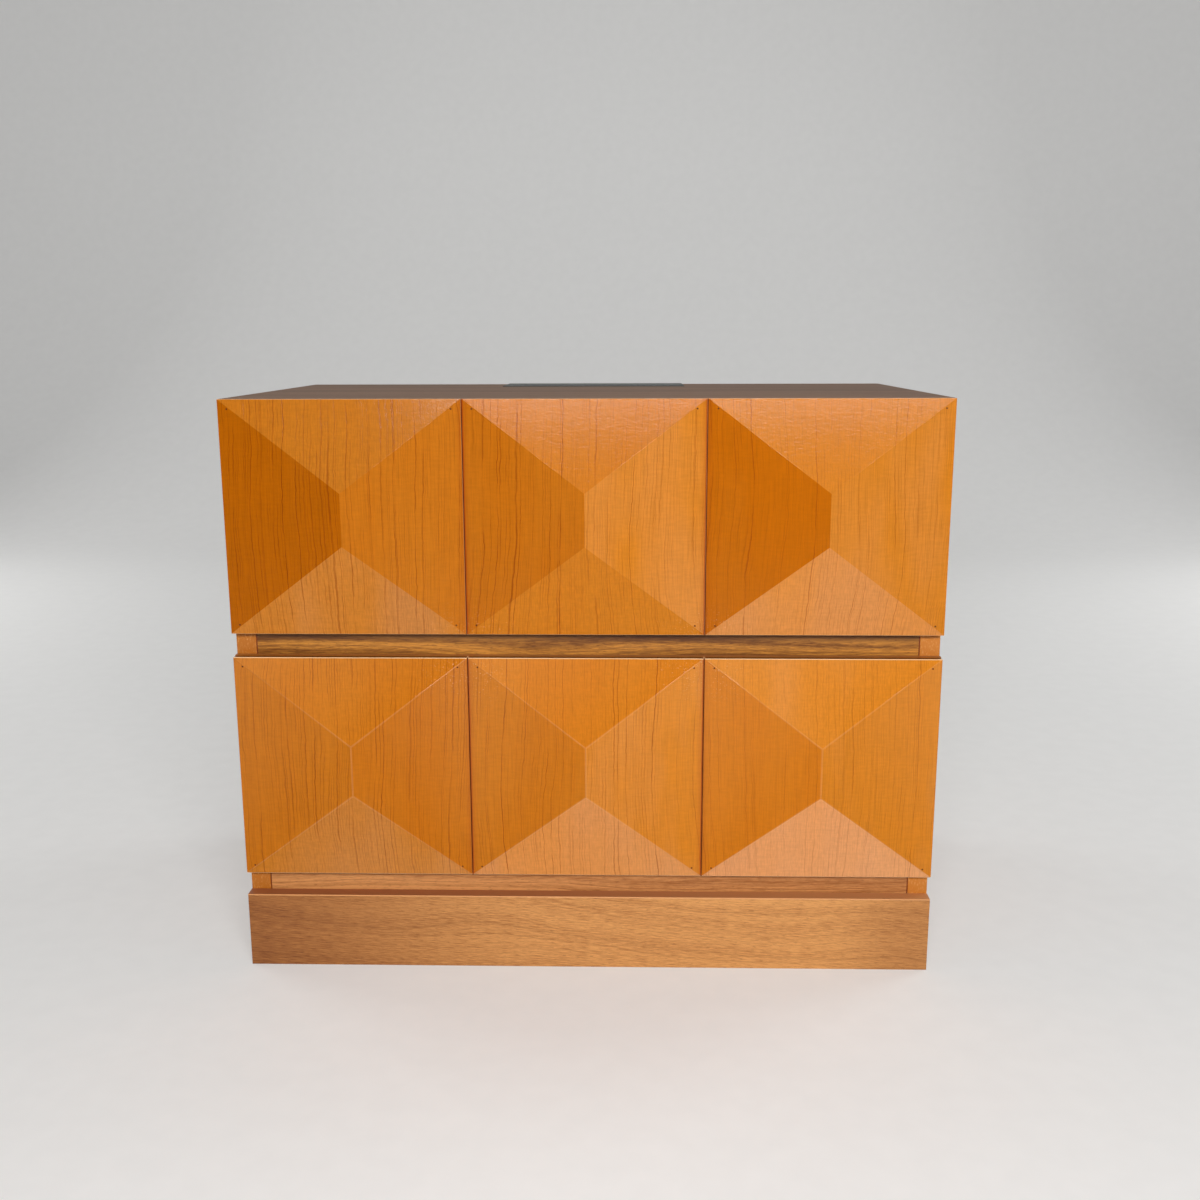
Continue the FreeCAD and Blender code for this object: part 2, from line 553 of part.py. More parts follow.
def make_tongues():
    """Loose tongues that lock the two mitred top corners."""
    body = start_body("mitre_tongue_left", y=CARCASS_FACE)
    section = start_sketch(body, "section", "XZ_Plane", "sizes.tongue_stop")
    tongue_outline(section, -1, TOP_UNDERSIDE)
    extrude(body, "Pad", "tongue", section, TONGUE_LENGTH, "+y")
    mirror_piece("mitre_tongue_right", body)


def make_top_plate():
    """Thin dark plate let into the top at its back edge, a little proud, with softened edges."""
    underside = "sizes.cabinet_height + sizes.plate_proud - sizes.plate_thickness"
    body = start_body("top_plate", y=CARCASS_FACE, z=underside)
    outline = (
        "-sizes.plate_width / 2",
        "sizes.carcass_depth - sizes.plate_depth",
        "sizes.plate_width",
        "sizes.plate_depth",
    )
    pad_rectangle(body, "plate", "XY_Plane", "0", outline, "sizes.plate_thickness", "+z")
    upper_face = measure("sizes.plate_thickness")
    bevel(body, "softened_edges", "sizes.plate_bevel", lambda box: near(box.ZMin, upper_face))


def make_runners(prefix, front_low):
    """A pair of wooden runners with a row of countersunk screw holes in each."""
    middle = f"({front_low} + {RUNNER_MIDDLE})"
    body = start_body(f"{prefix}_runner_left", y=CARCASS_FACE, z=f"{middle} - sizes.runner_height / 2")
    wall = f"-{INNER_HALF}"
    face = f"-{INNER_HALF} + {RUNNER_WIDTH}"
    rear = f"sizes.runner_start + {RUNNER_LENGTH}"
    plan = start_sketch(body, "plan", "XY_Plane")
    polygon(plan, (
        (wall, "sizes.runner_start"),
        (f"{face} - sizes.runner_lead", "sizes.runner_start"),
        (face, "sizes.runner_start + sizes.runner_lead"),
        (face, rear),
        (wall, rear),
    ))
    extrude(body, "Pad", "strip", plan, "sizes.runner_height", "+z")
    screws = spread((RUNNER_SCREW_Y, "sizes.runner_height / 2"), RUNNER_SCREW_ROW)
    drill(body, "screw_holes", "YZ_Plane", face, screws, SCREW_HOLE, RUNNER_WIDTH, "-x")
    head_hole = "sizes.screw_head + sizes.screw_play"
    drill(body, "countersinks", "YZ_Plane", face, screws, head_hole, COUNTERSINK_DEPTH, "-x",
          taper=COUNTERSINK_ANGLE)
    mirror_piece(f"{prefix}_runner_right", body)


def make_runner_screws():
    """Countersunk screws of the four runners."""
    body = start_body("runner_screws", y=CARCASS_FACE)
    face = f"-{INNER_HALF} + {RUNNER_WIDTH}"
    screws = all_runner_screws(mirrored=True)
    length = "sizes.runner_screw_length"
    grow_rods(body, "shanks", "YZ_Plane", face, screws, "sizes.screw_diameter", length, "-x")
    grow_rods(body, "heads", "YZ_Plane", face, screws, "sizes.screw_head", COUNTERSINK_DEPTH, "-x",
              taper=COUNTERSINK_ANGLE)


BLOCK_MIDDLES = {"left": f"-{BLOCK_PITCH}", "centre": "0", "right": BLOCK_PITCH}
BLOCK_ROW = ("X_Axis", f"({BLOCKS_ACROSS} - 1) * {BLOCK_PITCH}", BLOCKS_ACROSS)
PIN_ROWS = (
    ("X_Axis", f"2 * {PIN_X}", PAIR),
    ("Z_Axis", f"{FRONT_HEIGHT} - 2 * sizes.pin_inset", PAIR),
)
FIRST_SCREW_Z = f"({RUNNER_MIDDLE} - sizes.front_screw_pitch / 2)"
SCREW_PAIR = ("Z_Axis", "sizes.front_screw_pitch", PAIR)
FRONT_PINS = spread((f"-{BLOCK_PITCH} - {PIN_X}", "sizes.pin_inset"), BLOCK_ROW, *PIN_ROWS)
FRONT_SCREWS = spread((f"-{BLOCK_PITCH}", FIRST_SCREW_Z), BLOCK_ROW, SCREW_PAIR)


def make_block(name, position):
    """One hipped block: two trapezium facets slope to the sides and two triangles up and down."""
    body = start_body(name, **position)
    plan = start_sketch(body, "plan", "XY_Plane")
    polygon(plan, (
        (f"-{BLOCK_HALF}", "-sizes.backing_thickness"),
        (f"-{BLOCK_HALF}", BLOCK_EDGE_Y),
        ("0", BLOCK_RIDGE_Y),
        (BLOCK_HALF, BLOCK_EDGE_Y),
        (BLOCK_HALF, "-sizes.backing_thickness"),
    ))
    extrude(body, "Pad", "gable", plan, FRONT_HEIGHT, "+z")
    hips = start_sketch(body, "hips", "YZ_Plane", f"-{BLOCK_HALF}")
    for edge_z, ridge_side in ((FRONT_HEIGHT, 1), ("0", -1)):
        ridge_end = f"({FRONT_HEIGHT} + {ridge_side} * sizes.block_ridge) / 2"
        polygon(hips, ((BLOCK_EDGE_Y, edge_z), (BLOCK_RIDGE_Y, ridge_end), (BLOCK_RIDGE_Y, edge_z)))
    extrude(body, "Pocket", "hips", hips, f"2 * {BLOCK_HALF}", "+x")
    pins = spread((f"-{PIN_X}", "sizes.pin_inset"), *PIN_ROWS)
    reach = "sizes.block_edge + sizes.block_relief"
    drill(body, "pin_holes", "XZ_Plane", "-sizes.backing_thickness", pins, PIN_HOLE, reach, "-y")
    screws = spread(("0", FIRST_SCREW_Z), SCREW_PAIR)
    depth = f"-sizes.backing_thickness - {SCREW_BITE_Y}"
    drill(body, "screw_holes", "XZ_Plane", "-sizes.backing_thickness", screws, SCREW_HOLE, depth, "-y")


def make_front(prefix, position):
    """Backing board and three blocks of one drawer front, with the pins and screws that hold them."""
    backing = start_body(f"{prefix}_front_backing", **position)
    outline = (f"-{HALF_WIDTH}", "0", "sizes.cabinet_width", FRONT_HEIGHT)
    pad_rectangle(backing, "board", "XZ_Plane", "0", outline, "sizes.backing_thickness", "-y")
    bevel(backing, "finger_bevel", "sizes.finger_bevel",
          lambda box: near(box.ZMax, 0) and near(box.YMin, 0))
    thickness = "sizes.backing_thickness"
    drill(backing, "screw_holes", "XZ_Plane", "0", FRONT_SCREWS, SCREW_HOLE, thickness, "-y")
    pin_bite = f"{PIN_POINT_Y} + {thickness}"
    drill(backing, "pin_holes", "XZ_Plane", f"-{thickness}", FRONT_PINS, PIN_HOLE, pin_bite, "+y")
    for side, middle in BLOCK_MIDDLES.items():
        make_block(f"{prefix}_block_{side}", dict(position, x=middle))
    pins = start_body(f"{prefix}_block_pins", **position)
    grow_rods(pins, "pins", "XZ_Plane", PIN_END_Y, FRONT_PINS, "sizes.pin_diameter",
              "sizes.pin_length", "+y")
    make_front_screws(f"{prefix}_front_screws", position)


def make_front_screws(name, position):
    """Round-headed screws driven from inside the drawer box into the blocks."""
    body = start_body(name, **position)
    face = "sizes.box_front_thickness"
    length = "sizes.front_screw_length"
    grow_rods(body, "shanks", "XZ_Plane", face, FRONT_SCREWS, "sizes.screw_diameter", length, "-y")
    grow_rods(body, "heads", "XZ_Plane", face, FRONT_SCREWS, "sizes.screw_head",
              "sizes.front_screw_head_height", "+y", taper=ROUND_HEAD_ANGLE)


def tail_outline(sketch, root, end, middle):
    """One dovetail in the side view of a drawer box, from its root to its wider end."""
    half_root = "sizes.tail_width / 2"
    half_end = "(sizes.tail_width / 2 + sizes.tail_flare)"
    polygon(sketch, (
        (root, f"{middle} - {half_root}"),
        (root, f"{middle} + {half_root}"),
        (end, f"{middle} + {half_end}"),
        (end, f"{middle} - {half_end}"),
    ))


FRONT_TAIL = {
    "root": "sizes.box_front_thickness",
    "end": "(sizes.box_front_thickness - sizes.tail_reach)",
    "middle": f"(sizes.box_lift + {TAIL_PITCH} / 2)",
}
BACK_TAIL = {
    "root": BOX_REAR_SHOULDER,
    "end": BOX_LENGTH,
    "middle": f"(sizes.box_lift + 1.5 * {TAIL_PITCH})",
}
FRONT_TAIL_ROW = ("Z_Axis", f"(sizes.tail_count - 1) * {TAIL_PITCH}", "sizes.tail_count")
BACK_TAIL_ROW = ("Z_Axis", f"(sizes.tail_count - 2) * {TAIL_PITCH}", "sizes.tail_count - 1")
TRAY_SCREW_SPAN = "((sizes.tray_screws - 1) * sizes.tray_screw_pitch)"
TRAY_SCREWS = spread(
    (f"-{TRAY_SCREW_SPAN} / 2", f"{BOX_LENGTH} - sizes.box_back_thickness / 2"),
    ("X_Axis", TRAY_SCREW_SPAN, "sizes.tray_screws"),
)


def cut_sockets(body, tail, row):
    """Dovetail sockets in both ends of a front or back board."""
    outline = start_sketch(body, "socket", "YZ_Plane", f"-{BOX_HALF}")
    tail_outline(outline, **tail)
    socket = extrude(body, "Pocket", "socket", outline, "sizes.box_side_thickness", "+x")
    repeat(body, "sockets", [socket], (row,), mirrored=True)


def make_box_front(prefix, position):
    """Front board of a drawer box, with lapped dovetail sockets and a groove for the bottom."""
    body = start_body(f"{prefix}_box_front", **position)
    outline = (f"-{BOX_HALF}", "sizes.box_lift", f"2 * {BOX_HALF}", BOX_HEIGHT)
    pad_rectangle(body, "board", "XZ_Plane", "0", outline, "sizes.box_front_thickness", "+y")
    cut_sockets(body, FRONT_TAIL, FRONT_TAIL_ROW)
    groove_half = f"({BOX_INNER_HALF} + sizes.tray_inset)"
    groove = (f"-{groove_half}", TRAY_Z, f"2 * {groove_half}", "sizes.tray_thickness")
    thickness = "sizes.box_front_thickness"
    cut_rectangle(body, "bottom_groove", "XZ_Plane", thickness, groove, "sizes.tray_inset", "-y")
    drill(body, "screw_holes", "XZ_Plane", "0", FRONT_SCREWS, SCREW_HOLE, thickness, "+y")


def make_box_back(prefix, position):
    """Back board of a drawer box, above the bottom, with through dovetail sockets."""
    body = start_body(f"{prefix}_box_back", **position)
    height = f"sizes.box_lift + {BOX_HEIGHT} - {BOX_BACK_Z}"
    outline = (f"-{BOX_HALF}", BOX_BACK_Z, f"2 * {BOX_HALF}", height)
    pad_rectangle(body, "board", "XZ_Plane", BOX_REAR_SHOULDER, outline, "sizes.box_back_thickness", "+y")
    cut_sockets(body, BACK_TAIL, BACK_TAIL_ROW)
    depth = "sizes.tray_screw_length - sizes.tray_thickness"
    drill(body, "bottom_screw_holes", "XY_Plane", BOX_BACK_Z, TRAY_SCREWS, TRAY_SCREW_HOLE, depth, "+z")


def make_box_sides(prefix, position):
    """Side boards of a drawer box: dovetails at both ends, a runner groove and a bottom groove."""
    body = start_body(f"{prefix}_box_side_left", **position)
    outer_face = f"-{BOX_HALF}"
    inner_face = f"-{BOX_INNER_HALF}"
    thickness = "sizes.box_side_thickness"
    board_length = f"{BOX_REAR_SHOULDER} - sizes.box_front_thickness"
    board = ("sizes.box_front_thickness", "sizes.box_lift", board_length, BOX_HEIGHT)
    pad_rectangle(body, "board", "YZ_Plane", outer_face, board, thickness, "+x")
    heel_height = f"{BOX_BACK_Z} - sizes.box_lift"
    heel = (BOX_REAR_SHOULDER, "sizes.box_lift", "sizes.box_back_thickness", heel_height)
    pad_rectangle(body, "heel", "YZ_Plane", outer_face, heel, thickness, "+x")
    for name, tail, row in (("front", FRONT_TAIL, FRONT_TAIL_ROW), ("back", BACK_TAIL, BACK_TAIL_ROW)):
        outline = start_sketch(body, f"{name}_tail", "YZ_Plane", outer_face)
        tail_outline(outline, **tail)
        first = extrude(body, "Pad", f"{name}_tail", outline, thickness, "+x")
        repeat(body, f"{name}_tails", [first], (row,))
    tray_groove = (FRONT_TAIL["end"], TRAY_Z, f"{BOX_LENGTH} - {FRONT_TAIL['end']}", "sizes.tray_thickness")
    cut_rectangle(body, "bottom_groove", "YZ_Plane", inner_face, tray_groove, "sizes.tray_inset", "-x")
    groove_start = "(sizes.runner_start - sizes.groove_stop)"
    groove_low = f"{RUNNER_MIDDLE} - sizes.runner_height / 2 - sizes.groove_play"
    runner_groove = (groove_start, groove_low, f"{BOX_LENGTH} - {groove_start}",
                     "sizes.runner_height + sizes.groove_play")
    cut_rectangle(body, "runner_groove", "YZ_Plane", outer_face, runner_groove, "sizes.groove_depth", "+x")
    mirror_piece(f"{prefix}_box_side_right", body)


def make_tray(prefix, position):
    """Plywood bottom of a drawer box, slid in from the back, and the screws under the back board."""
    body = start_body(f"{prefix}_drawer_bottom", **position)
    half = f"({BOX_INNER_HALF} + sizes.tray_inset - sizes.tray_play)"
    front = "(sizes.box_front_thickness - sizes.tray_inset + sizes.tray_play)"
    outline = (f"-{half}", front, f"2 * {half}", f"{BOX_LENGTH} - {front}")
    thickness = "sizes.tray_thickness"
    pad_rectangle(body, "board", "XY_Plane", TRAY_Z, outline, thickness, "+z")
    drill(body, "screw_holes", "XY_Plane", TRAY_Z, TRAY_SCREWS, TRAY_SCREW_HOLE, thickness, "+z")
    screws = start_body(f"{prefix}_bottom_screws", **position)
    grow_rods(screws, "shanks", "XY_Plane", TRAY_Z, TRAY_SCREWS, "sizes.tray_screw_diameter",
              "sizes.tray_screw_length", "+z")
    grow_rods(screws, "heads", "XY_Plane", TRAY_Z, TRAY_SCREWS, "sizes.tray_screw_head",
              "sizes.tray_screw_diameter / 2", "-z", taper=ROUND_HEAD_ANGLE)


def make_drawer(prefix, front_low):
    """One whole drawer. Its pieces share a frame at the back and the lower edge of its front."""
    position = {"y": f"{CARCASS_FACE} - sizes.closing_gap", "z": front_low}
    make_front(prefix, position)
    make_box_front(prefix, position)
    make_box_sides(prefix, position)
    make_box_back(prefix, position)
    make_tray(prefix, position)


def make_carcass():
    """Everything that stands still."""
    make_top_panel()
    make_side_panels()
    make_bottom_panel()
    rail_depth = ("sizes.rail_setback", "sizes.rail_thickness")
    make_rail("bottom_rail", BOTTOM_RAIL_Z, BOTTOM_RAIL_HEIGHT, *rail_depth)
    make_rail("middle_rail", MIDDLE_RAIL_Z, MIDDLE_RAIL_HEIGHT, *rail_depth)
    stretcher_front = f"({BACK_INNER_FACE} - sizes.stretcher_thickness)"
    make_rail("rear_stretcher", "sizes.stretcher_clearance", STRETCHER_HEIGHT, stretcher_front,
              "sizes.stretcher_thickness")
    make_dowels()
    make_back_panel()
    make_back_nails()
    make_plinth()
    make_tongues()
    make_top_plate()
    make_runners("lower", LOWER_FRONT_Z)
    make_runners("upper", UPPER_FRONT_Z)
    make_runner_screws()


def check_model():
    """Stop where an object failed, a shape is empty or not valid, or a feature changed nothing."""
    for piece in doc.Objects:
        if "Invalid" in piece.State or "Error" in piece.State:
            raise RuntimeError(f"{piece.Name} failed: {piece.State}")
        base = getattr(piece, "BaseFeature", None)
        if base is not None and piece.TypeId in ("PartDesign::Pad", "PartDesign::Pocket"):
            change = piece.Shape.Volume - base.Shape.Volume
            grows = piece.TypeId == "PartDesign::Pad"
            if near(change, 0) or (change > 0) != grows:
                raise RuntimeError(f"{piece.Name} changes the volume by {change:.3f}")
    for piece in sub_parts:
        if piece.Shape.isNull() or not piece.Shape.isValid() or piece.Shape.Volume <= 0:
            raise RuntimeError(f"{piece.Label} has no valid shape")


def write_parts():
    """Write one STEP file per sub-part."""
    os.makedirs("parts", exist_ok=True)
    for piece in sub_parts:
        piece.Shape.exportStep(f"parts/{piece.Label}.step")


make_carcass()
make_drawer("upper", UPPER_FRONT_Z)
make_drawer("lower", LOWER_FRONT_Z)
doc.recompute()
check_model()
write_parts()
for piece in sub_parts:
    box = piece.Shape.BoundBox
    solids = len(piece.Shape.Solids)
    print(f"{piece.Label}: {solids} solid(s), {box.XLength:.1f} x {box.YLength:.1f} x {box.ZLength:.1f} mm")
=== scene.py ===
# Looks of a low wooden nightstand: carved drawer blocks, softened boards, turned screws and their finishes.
import json
import math

import bmesh
import bpy
from mathutils import Matrix, Vector


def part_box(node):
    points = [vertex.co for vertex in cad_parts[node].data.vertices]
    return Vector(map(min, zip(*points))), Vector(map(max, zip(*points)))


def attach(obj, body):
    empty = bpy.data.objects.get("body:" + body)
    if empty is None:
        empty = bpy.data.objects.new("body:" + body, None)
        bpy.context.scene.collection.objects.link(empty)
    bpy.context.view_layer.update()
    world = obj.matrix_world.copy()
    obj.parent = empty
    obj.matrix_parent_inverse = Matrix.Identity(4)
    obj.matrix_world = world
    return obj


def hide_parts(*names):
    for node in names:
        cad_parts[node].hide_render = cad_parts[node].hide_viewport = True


bl_info = {
    "name": "Nightstand with hipped blocks",
    "version": (1, 0, 0),
    "blender": (4, 5, 0),
    "location": "View3D > Sidebar > Nightstand",
    "description": "Finishes the boards, blocks and screws of a nightstand with two drawers",
    "category": "Object",
}

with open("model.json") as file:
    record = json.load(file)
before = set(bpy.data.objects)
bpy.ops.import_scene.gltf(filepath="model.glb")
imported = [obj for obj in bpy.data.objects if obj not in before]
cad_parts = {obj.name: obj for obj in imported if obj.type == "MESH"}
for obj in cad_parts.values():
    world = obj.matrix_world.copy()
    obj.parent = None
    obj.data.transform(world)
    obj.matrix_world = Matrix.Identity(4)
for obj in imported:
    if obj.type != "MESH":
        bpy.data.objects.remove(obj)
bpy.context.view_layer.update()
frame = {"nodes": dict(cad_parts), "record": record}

DRAWERS = ("upper", "lower")
SIDES = ("left", "centre", "right")
MILLIMETRE = 0.001

# Points of a solid closer than this are one point.
WELD = 0.00001
# Faces of a solid that meet at less than this are one flat face.
FLAT = math.radians(0.5)
# An edge of a board is softened from this angle and this length on.
SHARP = math.radians(20)
LONG = 0.06
# Edges of a block that turn more than this are its rim. Its hips turn less.
RIM_TURN = math.radians(40)
# A face looks along an axis when this much of its normal does.
SQUARE = 0.9
# A side of a block that is nearer to the middle than this many block widths lies in a seam.
SEAM_REACH = 0.6
# Distance in the log from one block to the next, so that no two show the same grain.
LOG_STEP = 1.7

# The four sloping faces of each block, left, right, top and bottom: place on the scale from amber (0) to
# rosy (1), and brightness. Both hold painted light: faces turned from the lamps are painted in shade, faces
# turned to them and to the floor are painted with highlight and reflection.
BLOCK_TONES_AND_SHADING = {
    "upper_left": ((0.00, 1.00), (0.28, 1.03), (0.47, 0.91), (0.70, 0.85)),
    "upper_centre": ((0.19, 1.05), (0.63, 0.99), (0.32, 1.09), (0.51, 0.98)),
    "upper_right": ((0.00, 1.15), (0.61, 0.97), (0.52, 1.02), (0.75, 0.98)),
    "lower_left": ((0.33, 1.02), (0.25, 1.08), (0.34, 1.08), (0.67, 0.86)),
    "lower_centre": ((0.34, 1.05), (0.62, 1.02), (0.35, 1.15), (0.81, 1.01)),
    "lower_right": ((0.28, 1.15), (0.61, 1.00), (0.61, 1.06), (0.98, 1.06)),
}
# Tone of a block's narrow sides and of its rim, and brightness of its upper side, which lies in shade.
SIDE_TONE = 0.3
RIM_TONE = 0.5
SHADED = 0.45
# How pale the rim is painted: a painted highlight with rubbing on level edges, a painted highlight on uprights
# that catch the light, and slight rubbing on other uprights.
LEVEL_HIGHLIGHT_AND_WEAR = 1.0
LIT_HIGHLIGHT = 0.4
UPRIGHT_WEAR = 0.05

# Waves in a metre of each figure across, through and along the grain. Chips, peel and specks use X, Y, Z.
WAVES = {
    "waver": (60.0, 20.0, 26.0),
    "front sway": (6.0, 4.0, 4.4),
    "jitter": (120.0, 60.0, 90.0),
    "fading": (90.0, 30.0, 15.0),
    "front fibre": (1000.0, 1000.0, 40.0),
    "ripple": (110.0, 60.0, 520.0),
    "front cloud": (16.0, 8.0, 5.0),
    "chips": (700.0, 500.0, 900.0),
    "peel": (330.0, 300.0, 820.0),
    "cabinet sway": (14.0, 8.0, 2.2),
    "rail sway": (20.0, 8.0, 5.0),
    "plinth sway": (13.0, 8.0, 6.0),
    "cabinet cloud": (9.0, 9.0, 3.0),
    "specks": (700.0, 500.0, 260.0),
    "pale sway": (10.0, 6.0, 2.0),
    "dashes": (700.0, 700.0, 160.0),
    "ply sway": (5.0, 5.0, 1.6),
    "ply fibre": (600.0, 600.0, 14.0),
}
FLECK_WAVES = 75.0
PORE_WAVES = 1300.0
METAL_WAVES = 260.0
PIN_WAVES = 2600.0
FLOOR_WAVES = 40.0
# How far the small bends of the grain and the shake of the front lines reach, in metres.
WAVER = 0.0030
JITTER = 0.0024
# Where a growth ring is darkest, and how unevenly rings follow each other.
CREST = 0.95
UNEVEN = 2.6
UNEVEN_WAVES = 0.22
# The range that holds most of a noise.
MOST = (0.3, 0.7)
# Depth of each bump in metres. Lines are sunk.
DEPTHS = {
    "lines": -0.00004,
    "ripple": 0.00004,
    "peel": 0.00005,
    "pores": 0.00005,
    "dashes": 0.00003,
    "ply fibre": 0.00004,
    "metal": 0.00002,
    "pins": 0.00003,
}
# Share of the normal that points up on a sloping rim and on a level ledge.
LEANING = 0.3
LEVEL = 0.95

# Turn of a fastener whose head points along an axis.
HEAD_TURNS = {
    "+x": (0.0, math.pi / 2, 0.0),
    "-x": (0.0, -math.pi / 2, 0.0),
    "+y": (-math.pi / 2, 0.0, 0.0),
    "-y": (math.pi / 2, 0.0, 0.0),
    "-z": (math.pi, 0.0, 0.0),
}
FASTENER_SIDES = 24
# Height of a plain rim, and how much shorter a fastener stays than its solid.
RIM_HEIGHT = 0.0002
SHORTER = 0.0004
# The slot against the rim and the dome, how deep the shank starts in the rim, and how much of it is thread.
SLOT_REACH = 3.0
SLOT_HEIGHT = 0.9
SHANK_START = -0.5
THREAD = 0.86

# Place and size of each lamp in metres, and the point they look at.
LAMPS = {
    "key": ((0.2, -2.0, 1.07), (1.3, 0.24)),
    "left": ((-2.4, 1.2, 0.9), (1.2, 1.2)),
    "right": ((2.4, 1.2, 0.9), (1.2, 1.2)),
}
LAMP_AIM = Vector((0.0, 0.0, 0.28))
SKY_COLOUR = (1.0, 0.985, 0.96, 1.0)
# The floor's sweep: where the backdrop stands, the radius of the bend below it and the steps of the bend.
BACKDROP = 3.2
BEND = 1.2
BEND_STEPS = 12
SENSOR_WIDTH = 36.0


def from_screen(red, green, blue):
    """A colour seen on screen, from 0 to 255, as the linear values that a shader takes."""
    def linear(value):
        share = value / 255
        return share / 12.92 if share <= 0.04045 else ((share + 0.055) / 1.055) ** 2.4

    return (linear(red), linear(green), linear(blue))


# Colours of small marks: pale wood for rubbing and painted highlights on the blocks and the plinth, specks,
# stains that also paint shade, joints, lines that also paint a shadow on the middle rail, dashes and pins.
PALE_WEAR_AND_HIGHLIGHT = from_screen(252, 210, 160)
RIM_HIGHLIGHT_AND_WEAR = from_screen(226, 160, 100)
LIP_SPECK = from_screen(224, 164, 94)
END_STAIN_AND_SHADE = from_screen(196, 177, 160)
JOINT = from_screen(112, 44, 12)
RAIL_LINE_AND_SHADOW = from_screen(72, 34, 6)
BOX_DASH = from_screen(160, 112, 70)
PLY_FIBRE = from_screen(140, 92, 50)
PIN_LIGHT = from_screen(112, 52, 18)
PIN_DARK = from_screen(70, 30, 12)


def colour_property(name, description, *screen, linear=None):
    """A colour that the sidebar shows, given as it looks on screen or as linear values."""
    return bpy.props.FloatVectorProperty(
        name=name,
        description=description,
        size=3,
        min=0.0,
        max=1.0,
        subtype="COLOR",
        default=linear or from_screen(*screen),
    )


def band_property(shade, board, *screen):
    """The colour of the light or dark bands of a board."""
    return colour_property(f"{board.capitalize()}, {shade}", f"The {shade} bands of the {board}", *screen)


def number_property(name, description, default, **settings):
    """A number that the sidebar shows."""
    return bpy.props.FloatProperty(name=name, description=description, default=default, **settings)


def length_property(name, description, default):
    """A length in metres that the sidebar shows in the scene's unit."""
    settings = {"min": 0.0, "precision": 5, "unit": "LENGTH", "subtype": "DISTANCE"}
    return number_property(name, description, default, **settings)


class NightstandColours(bpy.types.PropertyGroup):
    """Colours of the woods and metals."""

    amber: colour_property("Amber", "Deep faces of the drawer blocks", 173, 91, 0)
    peach: colour_property("Peach", "Middle faces of the drawer blocks", 210, 128, 34)
    rosy: colour_property("Rosy", "Pale faces of the drawer blocks", 216, 149, 97)
    front_line: colour_property("Front lines", "Filter over the grain lines of the blocks", 172, 120, 66)
    # Painted shade with stain, in and along the seams between the blocks.
    seam: colour_property("Seams", "Stained edges between the drawer blocks", 150, 44, 6)
    cabinet_line: colour_property("Cabinet lines", "Pores and lines of the cabinet wood", 110, 58, 26)
    backing_light: band_property("light", "boards behind the blocks", 180, 112, 44)
    backing_dark: band_property("dark", "boards behind the blocks", 140, 84, 28)
    plinth_light: band_property("light", "plinth", 222, 158, 92)
    plinth_dark: band_property("dark", "plinth", 158, 96, 46)
    top_light: band_property("light", "top", 152, 112, 82)
    top_dark: band_property("dark", "top", 112, 82, 58)
    side_light: band_property("light", "sides", 180, 122, 70)
    side_dark: band_property("dark", "sides", 134, 82, 42)
    rail_light: band_property("light", "middle rail", 212, 142, 54)
    rail_dark: band_property("dark", "middle rail", 122, 70, 12)
    low_rail_light: band_property("light", "bottom rail", 216, 150, 88)
    box_light: band_property("light", "drawer boxes", 228, 196, 150)
    box_dark: band_property("dark", "drawer boxes", 208, 168, 120)
    ply_light: band_property("light", "plywood", 206, 164, 112)
    ply_dark: band_property("dark", "plywood", 190, 144, 94)
    # The left lip is painted darker than the right one, as shade.
    left_lip_shaded: colour_property("Left lip", "Front edge of the left side", 184, 108, 28)
    right_lip: colour_property("Right lip", "Front edge of the right side", 200, 122, 42)
    # Painted shade on the level upper edge of the plinth.
    ledge_shade: colour_property("Ledge", "Grime on the upper edge of the plinth", 146, 76, 40)
    plate: colour_property("Plate", "Painted plate in the top", 52, 56, 52)
    steel: colour_property("Steel", "Screws and nails", 178, 176, 168)
    floor: colour_property("Floor", "Pale floor and backdrop", linear=(0.70, 0.70, 0.69))


class NightstandSizes(bpy.types.PropertyGroup):
    """Sizes of what the solids leave to the looks."""

    arris: length_property("Board edge", "Softened edges of the boards", 0.0005)
    block_arris: length_property("Block edge", "Softened rim of the blocks", 0.0006)
    upper_crease: length_property("Upper crease", "Rounding between the faces of an upper block", 0.0003)
    lower_crease: length_property("Lower crease", "Rounding between the faces of a lower block", 0.0010)
    # Painted highlight along the creases of the lower blocks.
    crease_highlight: number_property("Crease wear", "How far the lower blocks' creases are rubbed pale", 0.08)
    seam_closing: length_property("Seam closing", "How far a block swells into each seam", 0.0002)
    line_spacing: length_property("Grain spacing", "Between the grain lines of the blocks", 0.0026)
    pore_length: length_property("Pore length", "Pores of the cabinet wood", 0.006)
    joint_width: length_property("Joint", "Dark joint at each end of a rail", 0.0008)
    slot_width: length_property("Screw slot", "Slot in the head of a screw", 0.0008)


class NightstandStage(bpy.types.PropertyGroup):
    """Camera, lamps and floor."""

    camera_place: bpy.props.FloatVectorProperty(
        name="Camera",
        description="Place of the camera",
        size=3,
        subtype="TRANSLATION",
        unit="LENGTH",
        default=(0.0368, -1.1810, 0.5477),
    )
    camera_turn: number_property("Turn", "Camera turned to the left", 0.02398, unit="ROTATION")
    camera_dip: number_property("Dip", "Camera tipped down", 0.20637, unit="ROTATION")
    camera_roll: number_property("Roll", "Camera rolled about its line of sight", -0.00278, unit="ROTATION")
    lens: number_property("Lens", "Focal length in millimetres", 37.503)
    floor_reach: length_property("Floor", "Half the width of the floor", 6.0)
    key_power: number_property("Key lamp", "Watts of the key lamp", 34.5)
    left_power: number_property("Left lamp", "Watts of the left side lamp", 19.2)
    right_power: number_property("Right lamp", "Watts of the right side lamp", 24.0)
    sky: number_property("Sky", "Strength of the even light", 0.2)
    floor_glow: number_property("Floor glow", "Light that the floor adds to the picture alone", 0.22)


def colours():
    return bpy.context.scene.nightstand_colours


def sizes():
    return bpy.context.scene.nightstand_sizes


